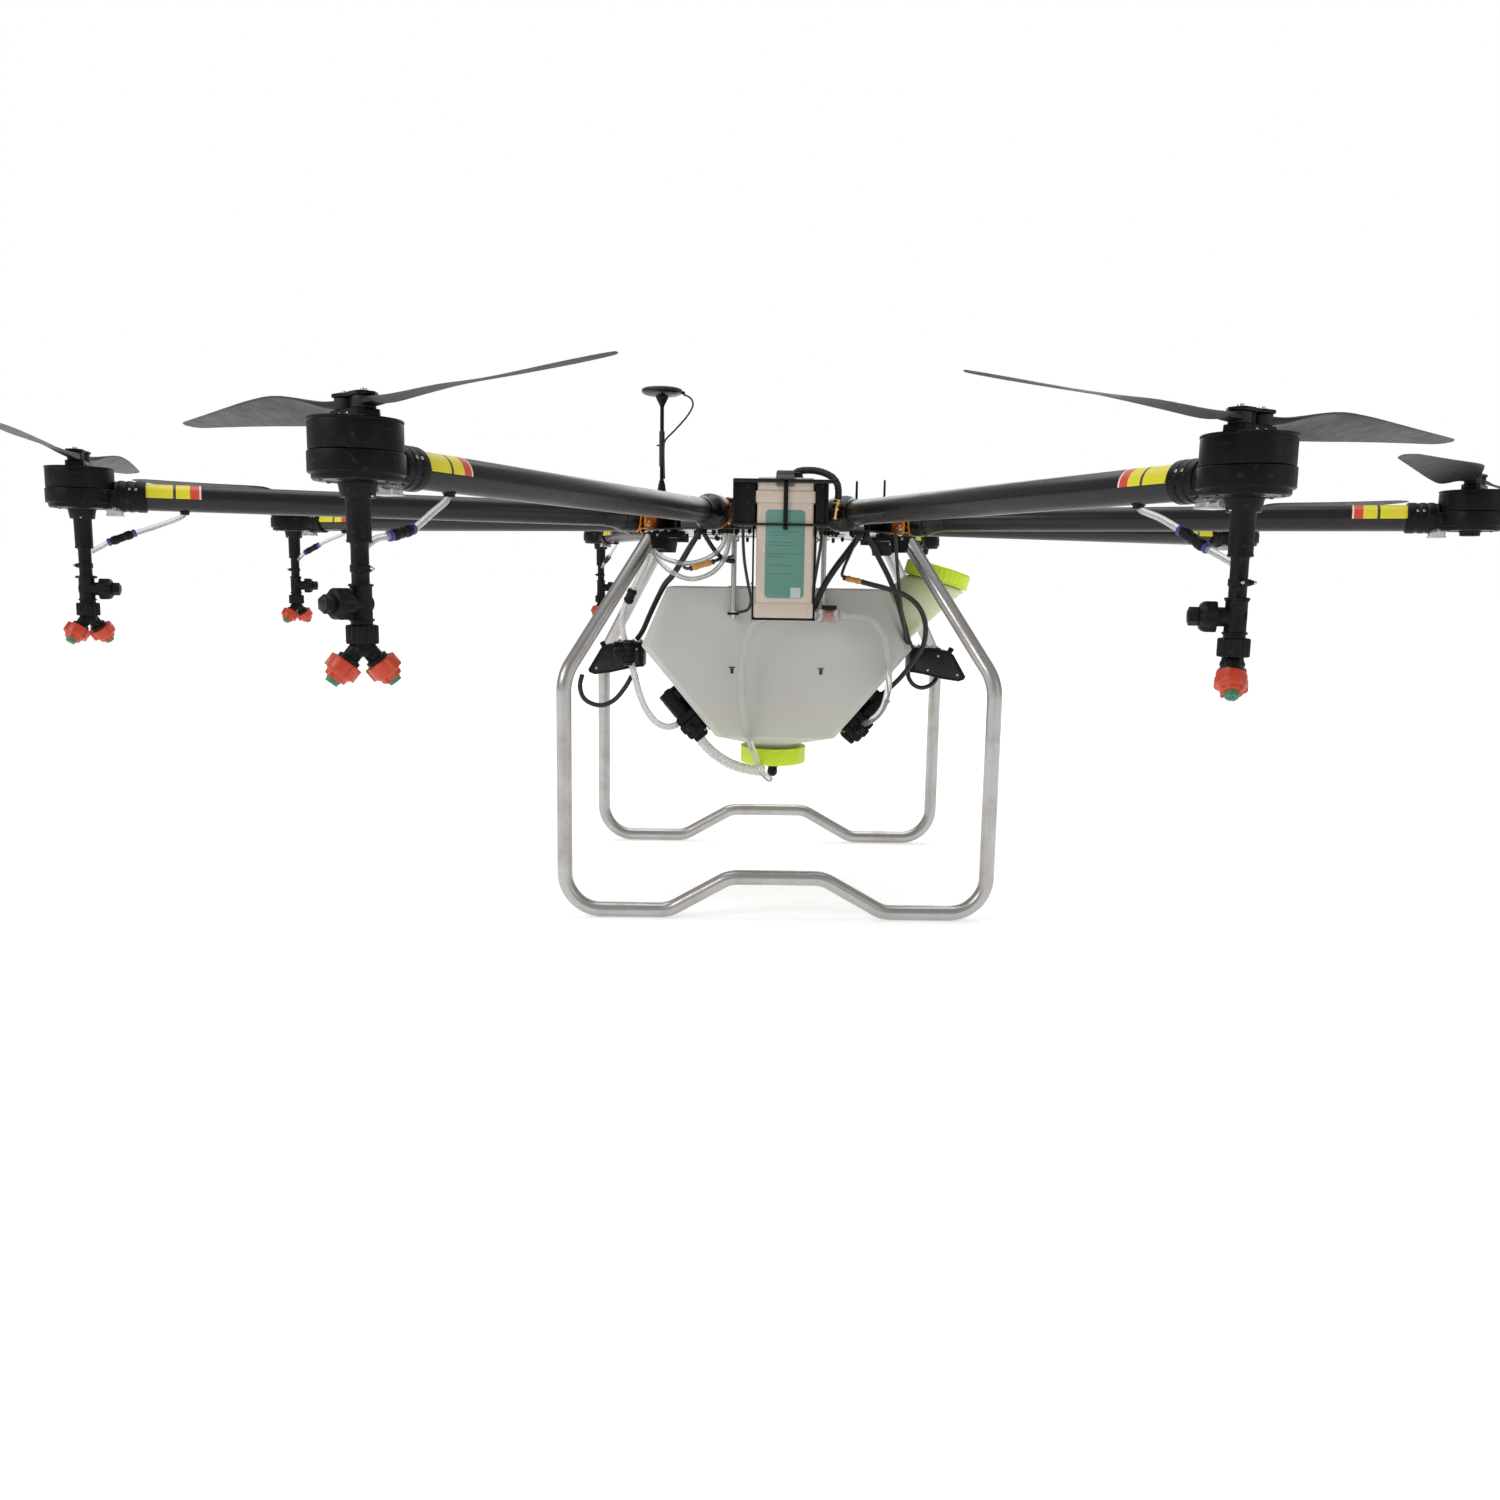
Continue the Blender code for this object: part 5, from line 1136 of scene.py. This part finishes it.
def tank_mesh():
    s = Shape()
    points = []
    for half, z in ((197.0, 552.0), (243.0, 446.0), (108.0, 284.0)):
        for sx in (-1, 1):
            for sy in (-1, 1):
                points += [(sx * half, sy * 111.0, z), (sx * (half - 14.0), sy * 125.0, z)]
    points += [(56.0 * math.cos(math.tau * i / 32), 56.0 * math.sin(math.tau * i / 32), 262.0) for i in range(32)]
    s.hull(points, TANK, None, 5.0, 4, 14.0)
    s.turned([(48.0, 270.0), (48.0, 262.0), (50.0, 261.0), (50.0, 258.0), (47.4, 257.0), (47.4, 229.0), (46.6, 228.0), (43.0, 228.0)], TANK, None, 80, 0.8)
    # filler: shoulder, neck and mouth
    neck = [FILLER @ Vector((56.0 * math.cos(math.tau * i / 40), 56.0 * math.sin(math.tau * i / 40), -26.0)) for i in range(40)]
    base = shift(200.0, 0.0, 479.0) @ turn("Y", 40.0)
    neck += [base @ Vector((50.0 * math.cos(math.tau * i / 40), 50.0 * math.sin(math.tau * i / 40), 0.0)) for i in range(40)]
    s.hull(neck, TANK_NECK, None, 3.0, 3, 20.0)
    s.turned([(56.0, -30.0), (56.0, -27.0), (54.0, -26.0), (50.0, -25.6), (50.0, -1.0), (48.8, 0.0), (45.5, 0.0), (45.5, -24.0)], TANK_NECK, FILLER, 80, 0.6)
    # two small raised pads and a lifting boss on the lid face
    for sy in (-1, 1):
        s.slab(rectangle(-22, 22, -4, 4, 3.5), 551.4, 553.0, TANK, shift(0, sy * 70.0, 0), 0.5)
    s.turned([(30.0, 551.0), (30.0, 553.4), (27.0, 554.2), (24.0, 553.0)], TANK, shift(-60, 0), 64, 0.6)
    # hanger rods with foot plates
    for sx in (-1, 1):
        for sy in (-1, 1):
            spot = shift(sx * 79.0, sy * 132.0)
            s.turned([(4.5, 506.0), (4.5, 649.6)], ROD, spot, 32, 0.2)
            s.turned([(6.0, 643.5), (7.2, 644.2), (7.2, 649.6)], STEEL, spot, 6, 0.3)
            s.slab(rectangle(-10, 10, -5.5, 6.5, 1.5) if sy > 0 else rectangle(-10, 10, -6.5, 5.5, 1.5), 504.4, 508.6, BLACK_ANODISED, spot, 0.6)
            s.turned([(6.4, 508.6), (6.4, 511.6)], STEEL, spot, 6, 0.3)
            s.turned([(5.6, 498.6), (5.6, 504.4)], STEEL, spot, 6, 0.3)
    # small slotted clips on the front wall
    for x in (-80.0, 79.0):
        s.block((x - 5.4, x + 5.4), (-126.4, -124.4), (410.0, 411.6), BLACK_ANODISED, None, 0.3)
        s.block((x - 2.6, x + 2.6), (-126.2, -124.4), (400.0, 409.0), CORD_BLACK, None, 0.4)
    return s.mesh("tank")


def neck_plastic():
    n = Nodes("tank_neck")
    cloud = n.spread(n.noise(14.0, 4.0), 0.3, 0.7)
    base = n.mix(cloud, (0.58, 0.64, 0.36), (0.66, 0.70, 0.46))
    return n.set(Base_Color=base, Roughness=n.spread(n.noise(40.0, 3.0), 0.3, 0.7, 0.34, 0.48), Normal=n.bump(n.noise(300.0, 3.0), 0.00005, 0.35),
                 Subsurface_Weight=0.2, Subsurface_Radius=(0.02, 0.02, 0.008), Subsurface_Scale=0.5)


TANK_NECK = neck_plastic()
piece("tank_shell", tank_mesh(), at(PAYLOAD, 0, 0), "frame", ["spray_tank"])

s = Shape()
s.turned([(51.2, -24.0), (59.6, -24.0), (60.6, -23.2), (61.0, -22.0), (61.0, 0.0), (60.4, 1.4)], LIME, None, 216, 0.3, ribs=36, rib=0.7)
s.turned([(61.0, -24.0), (61.0, -20.6), (60.0, -19.8), (51.4, -19.8), (51.4, -24.0)], LIME, None, 96, 0.4, ring=True)
s.turned([(58.6, -1.0), (60.4, -0.4), (60.6, 1.2), (58.6, 3.4), (56.0, 4.0), (44.0, 4.0), (43.2, 3.2), (42.0, 3.0), (16.0, 3.0), (15.0, 4.0)], LIME, None, 96, 0.4)
for k in range(6):
    s.block((17.0, 41.0), (-1.0, 1.0), (2.6, 3.9), LIME, turn("Z", 60 * k), 0.4)
CAP_SEAT = FILLER @ shift(0, 0, 0.6)
CAP_PLACE = at(PAYLOAD, 0, 0) @ Matrix.Scale(MM, 4) @ CAP_SEAT @ Matrix.Scale(1 / MM, 4)
piece("filler_screw_cap", s.mesh("filler_screw_cap"), CAP_PLACE, "filler_cap", ["filler_cap"])

s = Shape()
s.turned([(50.0, -27.0), (60.6, -27.0), (61.6, -26.0), (62.0, -24.8), (62.0, 1.0), (61.0, 2.6)], LIME, None, 240, 0.3, ribs=12, rib=1.0)
s.turned([(62.0, -27.0), (62.0, -22.6), (61.0, -21.8), (50.2, -21.8), (50.2, -27.0)], LIME, None, 96, 0.4, ring=True)
s.turned([(59.8, 0.0), (61.4, 1.6), (59.6, 4.2), (57.0, 5.0), (44.0, 5.0), (43.0, 4.2), (24.0, 4.2), (22.5, 5.0), (14.0, 5.0)], LIME, None, 96, 0.4)
s.turned([(14.5, 4.0), (14.5, 9.0), (11.0, 10.5), (11.0, 14.0), (8.5, 15.0), (8.5, 23.0), (7.5, 24.0), (7.5, 27.0)], BLACK, None, 40, 0.5)
lean = shift(0, 0, 18) @ turn("X", 62)
s.turned([(8.4, -6.0), (8.4, 10.0), (9.4, 11.0), (9.4, 16.0), (8.4, 17.0), (8.4, 20.0)], BLACK, lean, 40, 0.5)
s.turned([(8.8, 17.0), (9.8, 18.0), (9.8, 21.0), (8.6, 22.0)], NAVY, lean, 40, 0.4)
place = at(PAYLOAD, 0, 227.4) @ Matrix.Rotation(math.pi, 4, "X")
piece("drain_screw_cap", s.mesh("drain_screw_cap"), place, "frame", ["drain_cap"])


# ---- battery and its holder -------------------------------------------------------------------
def battery_mesh():
    s = Shape()
    s.slab(rectangle(-44.5, 44.5, -30.0, 30.0, 5.0, 6), 508.6, 692.0, CREAM, None, 2.2, steps=3)
    s.slab(rectangle(-46.4, 46.4, -30.6, 30.6, 5.0, 6), 507.0, 530.0, CREAM, None, 1.2, steps=3)
    s.slab(rectangle(-47.0, 47.0, -31.0, 31.0, 5.0, 6), 687.0, 705.0, CREAM, None, 1.2, steps=3)
    s.slab(rectangle(-44.0, 44.0, -29.4, 29.4, 5.0, 6), 703.0, 726.0, CREAM, None, 2.4, steps=3)
    for z, half in ((530.4, 45.4), (685.4, 45.6), (705.2, 45.2)):
        s.slab(rectangle(-half, half, -30.2, 30.2, 5.0, 6), z, z + 1.1, CREAM_DARK, None, 0.3)
    s.turned([(9.0, 724.0), (9.0, 730.0), (7.6, 732.0), (7.6, 735.5), (5.0, 736.5)], BLACK, shift(20, 7.0), 40, 0.5)
    for x in (-38.0, 38.0):
        for z in (514.0, 524.0):
            s.screw(shift(x, -30.6, z) @ turn("X", 90), CREAM_DARK, 1.5, 0.4)
    # label, hook-and-loop strap
    s.slab(rectangle(-31.0, 31.0, -69.0, 69.0, 7.0, 8), 30.0, 30.5, LABEL, shift(0, 0, 607) @ turn("X", 90), 0.12)
    strap = [(-1, -31.6, 712), (-1, -31.4, 722), (-1, -30.4, 727.5), (-1, -27.0, 729.2), (-1, 0, 730.0), (-1, 26.0, 729.4), (-1, 30.5, 727), (-1, 31.6, 720), (-1, 31.6, 700)]
    section = rectangle(-14.0, 14.0, -0.9, 0.9, 0.6, 2)
    s.swept(spline(strap, 6), 1.0, VELCRO, section=section, up=(0, -1, 0))
    s.slab(rectangle(-13.5, 13.5, -22.0, 12.0, 2.0), 730.4, 737.5, VELCRO, shift(-1, 0, 0), 1.6)
    return s.mesh("battery_case")


MIDDLE = (BATTERY[0].x + BATTERY[1].x) / 2
piece("battery_case", battery_mesh(), at(MIDDLE, -313.0, 0), "battery", ["battery"])


def holder_mesh():
    s = Shape()
    w, y0, y1, z0, z1 = 94.0, -344.0, -282.0, 651.0, 723.0
    s.slab(rectangle(-66, 66, z0, z1, 3.0), -(y1 + 4.0), -(y1 + 0.8), BLACK, turn("X", 90), 0.6)
    for k in (-1, 1):
        wide = 83.0 if k < 0 else 67.0
        cheek = [(w / 2 + 0.8, y0 + 6), (wide, y0 + 6), (wide, y0 + 38), (66.9, y1 + 2), (w / 2 + 0.8, y1 + 2)]
        if k < 0:
            cheek = [(-x, y) for x, y in reversed(cheek)]
        s.slab(cheek, z0, z1, BLACK, None, 1.5, steps=3)
        s.block((k * 40 - 14, k * 40 + 14), (y1 + 3, -216.0), (653.7, 664.0), BLACK_ANODISED, None, 1.0)
        s.block(tuple(sorted((k * 48.0, k * 51.0))), (y0 + 24, y0 + 38), (503.0, z0 + 4), BLACK_ANODISED, None, 0.6)
        s.block(tuple(sorted((k * (wide - 3.4), k * wide))), (y0 - 3.5, y0 + 30), (z0, z1), BLACK, None, 0.8)
        for z in (660.0, 687.0, 712.0):
            s.screw(shift(k * 59.0, y0 + 6.2, z) @ turn("X", 90), BLACK_SATIN, 3.0, 2.2)
        for y in (-262.0, -232.0):
            s.screw(shift(k * 40, y, 664.0), STEEL, 3.0, 2.4)
        s.turned([(2.2, y1 - 12), (2.2, y1 - 8)], STEEL, shift(k * 51.0, 0, 560.0) @ turn("X", -90), 16, 0.2)
    s.slab(stadium(80.0, 3.0, 10, 0, 0), -(y0 - 0.8), -(y0 - 4.0), BLACK_SATIN, shift(0, 0, z1 - 2.8) @ turn("X", 90), 0.6)
    s.slab(stadium(81.0, 2.0, 10, 0, 0), -(y0 - 0.8), -(y0 - 4.0), BLACK_SATIN, shift(0, 0, z0 + 2.0) @ turn("X", 90), 0.6)
    s.block((-3.5, 3.5), (y0 - 4, y0 - 1.2), (z0 - 6, z1 - 1), BLACK, None, 0.6)
    s.block((-51, 51), (y0 + 4, y1 - 4), (503.0, 506.6), BLACK_ANODISED, None, 0.8)
    return s.mesh("battery_tray")


piece("battery_tray", holder_mesh(), at(MIDDLE, 0, 0), "frame", ["battery_holder"])


# ---- pumps and side units -----------------------------------------------------------------------
def pump_mesh():
    s = Shape()
    s.slab(rectangle(-48, 50, -26, 26, 4.0), 0.2, 3.0, BLACK_ANODISED, None, 0.4, [circle(2.4, 16, x, y)[::-1] for x in (-42, 44) for y in (-20, 20)])
    s.turned([(17.0, 54.0), (18.4, 53.0), (19.0, 51.5), (19.0, 44.0), (18.4, 43.4), (18.4, 42.2), (19.0, 41.6), (19.0, 6.0), (18.2, 5.2), (18.2, 3.6), (19.0, 3.0), (19.0, 0.0)], MOTOR_BLACK, shift(0, 0, 21) @ turn("Y", -90), 64, 0.3)
    s.turned([(7.0, 53.5), (7.0, 55.5), (5.0, 56.5)], MOTOR_BLACK, shift(0, 0, 21) @ turn("Y", -90), 32, 0.3)
    s.block((-2, 12), (-24, 24), (2.0, 42.0), BLACK, None, 3.0, 3)
    s.block((12, 30), (-27, 27), (2.0, 44.0), BLACK, None, 4.0, 3)
    s.block((28, 44), (-25, 25), (3.0, 42.0), BLACK, None, 5.0, 3)
    s.block((42, 54), (-17, 17), (9.0, 37.0), BLACK, None, 4.0, 3)
    for y in (-19, 0, 19):
        for z in (9.0, 36.0):
            s.turned([(3.0, -3.0), (3.0, 13.5), (2.2, 14.4)], BLACK, shift(0, y, z) @ turn("Y", 90), 20, 0.3)
            s.screw(shift(44.0 if abs(y) > 5 else 47.0, y, z) @ turn("Y", 90), STEEL, 2.0, 1.4)
    for k in (-1, 1):
        place = shift(24, k * 14, 26) @ turn("X", -90 * k)
        s.turned([(9.0, 10.0), (9.0, 17.0), (6.0, 18.0), (6.4, 20.0), (5.2, 24.0), (6.2, 26.0), (5.2, 30.0), (6.2, 32.0), (5.0, 37.0), (4.6, 40.0)], BLACK, place, 32, 0.4)
    s.block((-46, -30), (-16, 16), (1.0, 12.0), BLACK_ANODISED, None, 1.2)
    return s.mesh("pump")


PUMP = pump_mesh()
for name, side in (("left", -1), ("right", 1)):
    spot = Vector((side * (108.0 + 135.0 * 0.30), -60.0, 284.0 + 162.0 * 0.30))
    slope_angle = math.atan2(243.0 - 108.0, 446.0 - 284.0)
    down = Vector((-side * math.sin(slope_angle), 0, -math.cos(slope_angle)))
    out = Vector((side * math.cos(slope_angle), 0, -math.sin(slope_angle)))
    across = out.cross(down)
    spot = spot + out * 0.8
    turned_frame = Matrix((down, across, out)).transposed().to_4x4()
    piece(f"{name}_spray_pump", PUMP, Matrix.Translation(HUB + Vector((PAYLOAD + spot.x, spot.y, spot.z)) * MM) @ turned_frame, "frame", [f"pump_{name}"])


def unit_mesh():
    s = Shape()
    outline = [(0.0, 12.0), (46.0, 12.0), (66.0, 9.5), (77.0, 2.0), (100.0, -37.0), (98.0, -42.0), (88.0, -46.0), (58.0, -42.0), (24.0, -34.0), (0.0, -30.0)]
    s.slab(outline[::-1], -26.0, 26.0, BLACK, turn("X", 90), 2.2, steps=3)
    s.block((-3.0, 1.5), (-34, 34), (-30.0, 12.0), BLACK, None, 1.0)
    s.block((-2.0, 52.0), (-30, 30), (11.0, 15.0), BLACK_ANODISED, None, 0.8)
    rim = [(6.0, 7.0), (44.0, 7.0), (62.0, 4.5), (72.0, -2.0), (92.0, -36.0), (86.0, -41.0), (58.0, -37.0), (26.0, -29.5), (6.0, -26.0)]
    for k in (-1, 1):
        s.slab(rim[::-1], 26.0 - 0.6 if k > 0 else -27.2, 27.2 if k > 0 else -26.0 + 0.6, BLACK_SATIN, turn("X", 90), 0.5)
        for x, z in ((10, 2), (48, 0), (84, -34), (30, -26)):
            s.screw(shift(x, k * 27.0, z) @ turn("X", -90 * k), STEEL, 2.0, 1.2)
        for x in (6.0, 20.0, 34.0, 46.0):
            s.screw(shift(x, k * 24.0, 15.0), STEEL, 2.4, 2.4, hexagon=True)
            s.screw(shift(x + 3, k * 12.0, 15.0), STEEL, 2.0, 1.8)
    s.turned([(5.0, 0), (5.0, 10.0), (3.8, 11.0)], BLACK, shift(72, 0, 4) @ turn("Y", 30), 24, 0.4)
    return s.mesh("side_unit")


UNIT = unit_mesh()
for name, azimuth, side, y in (("left", 180.0, -1, -20.0), ("right", 0.0, 1, -60.0)):
    piece(f"{name}_sensor_housing", UNIT, at(PAYLOAD + side * 246.6, y, 434.0, azimuth), "frame", [f"side_unit_{name}"])


# ---- satellite receiver ---------------------------------------------------------------------------
def maroon_band():
    return surface("receiver_band", (0.075, 0.014, 0.012), 0.35, vary=0.15)


s = Shape()
s.turned([(5.2, 0.6), (5.2, 3.0), (3.9, 4.5), (3.6, 6.0), (3.6, 157.0)], BLACK, None, 40, 0.4)
s.turned([(4.9, 30.0), (5.1, 31.0), (5.1, 92.0), (4.6, 93.0)], SLEEVE, None, 40, 0.4)
s.turned([(5.6, 66.0), (5.6, 69.0)], CORD_BLACK, None, 32, 0.3)
s.block((-10.0, -4.0), (-1.3, 1.3), (66.2, 68.8), CORD_BLACK, None, 0.4)
s.turned([(3.7, 136.0), (5.0, 140.0), (11.0, 151.5), (12.0, 156.0)], BLACK, None, 40, 0.6)
s.turned([(12.0, 155.0), (30.0, 157.6), (35.6, 160.0), (37.0, 161.6), (37.5, 163.4), (37.5, 164.6)], BLACK_SATIN, None, 96, 0.5)
s.turned([(37.5, 164.4), (37.6, 165.4), (37.0, 167.0)], maroon_band(), None, 96, 0.3)
s.turned([(37.0, 166.8), (34.5, 168.6), (28.0, 170.0), (16.0, 170.5)], BLACK_SATIN, None, 96, 1.0)
for k in range(6):
    s.slab(rectangle(17.0, 29.0, -6.0, 6.0, 2.0), -0.3, 0.3, LAMP_BOARD, turn("Z", 60 * k) @ shift(0, 0, 157.0) @ turn("Y", -7.5), 0.1)
s.block((34.0, 42.0), (-4.0, 4.0), (159.6, 164.6), BLACK, None, 1.2)
place = Matrix.Translation(Vector(JOINTS["gps_fold"]["pos_m"]))
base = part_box("gps_mast")[0]
piece("receiver_mast", s.mesh("receiver_mast"), at(-207.0, 4.0, 741.0), "gps", ["gps_mast"])


# ---- floor and light ------------------------------------------------------------------------------
def floor_material():
    n = Nodes("pale_floor")
    cloud = n.spread(n.noise(1.2, 4.0), 0.3, 0.7)
    # the softboxes only reach the middle, so the floor glows a little more further out
    away = n.node("VectorMath", operation="LENGTH")
    n.feed(away.inputs[0], n.place)
    glow = n.spread(away.outputs["Value"], 1.8, 4.5, 0.42, 0.64)
    return n.set(Base_Color=n.mix(cloud, (0.88, 0.88, 0.88), (0.92, 0.92, 0.92)), Roughness=0.9, Specular_IOR_Level=0.1, Normal=n.bump(n.noise(220.0, 2.0), 0.0001, 0.15),
                 Emission_Color=(1.0, 1.0, 1.0, 1.0), Emission_Strength=glow)


bm = bmesh.new()
bmesh.ops.create_grid(bm, x_segments=8, y_segments=8, size=60.0)
mesh = bpy.data.meshes.new("floor")
bm.to_mesh(mesh)
bm.free()
mesh.materials.append(floor_material())
floor = bpy.data.objects.new("floor", mesh)
bpy.context.scene.collection.objects.link(floor)
floor.location = (0.0, 0.0, -0.0005)

# white surround behind everything, softer as a light
world = bpy.data.worlds.new("studio")
world.use_nodes = True
tree = world.node_tree
back = tree.nodes["Background"]
back.inputs["Color"].default_value = (1.0, 1.0, 1.0, 1.0)
back.inputs["Strength"].default_value = 0.46
seen = tree.nodes.new("ShaderNodeBackground")
seen.inputs["Strength"].default_value = 1.0
seen.inputs["Color"].default_value = (1.0, 1.0, 1.0, 1.0)
path = tree.nodes.new("ShaderNodeLightPath")
mixed = tree.nodes.new("ShaderNodeMixShader")
tree.links.new(path.outputs["Is Camera Ray"], mixed.inputs[0])
tree.links.new(back.outputs[0], mixed.inputs[1])
tree.links.new(seen.outputs[0], mixed.inputs[2])
tree.links.new(mixed.outputs[0], tree.nodes["World Output"].inputs["Surface"])
bpy.context.scene.world = world
bpy.context.scene.view_settings.view_transform = "Standard"


def softbox(name, place, target, size, power):
    data = bpy.data.lights.new(name, "AREA")
    data.shape = "RECTANGLE"
    data.size, data.size_y = size
    data.energy = power
    made = bpy.data.objects.new(name, data)
    bpy.context.scene.collection.objects.link(made)
    made.matrix_world = Matrix.Translation(Vector(place)) @ (Vector(place) - Vector(target)).to_track_quat("Z", "Y").to_matrix().to_4x4()


softbox("key", (-3.4, -2.6, 2.6), (0, 0, 0.5), (2.0, 1.6), 60.0)
softbox("fill", (3.2, -3.0, 1.6), (0, 0, 0.5), (2.0, 2.0), 12.0)
softbox("top", (-0.2, 0.8, 4.0), (0, 0, 0.5), (3.6, 3.0), 70.0)
softbox("back", (0.5, 4.0, 2.2), (0, 0, 0.6), (3.0, 1.6), 30.0)
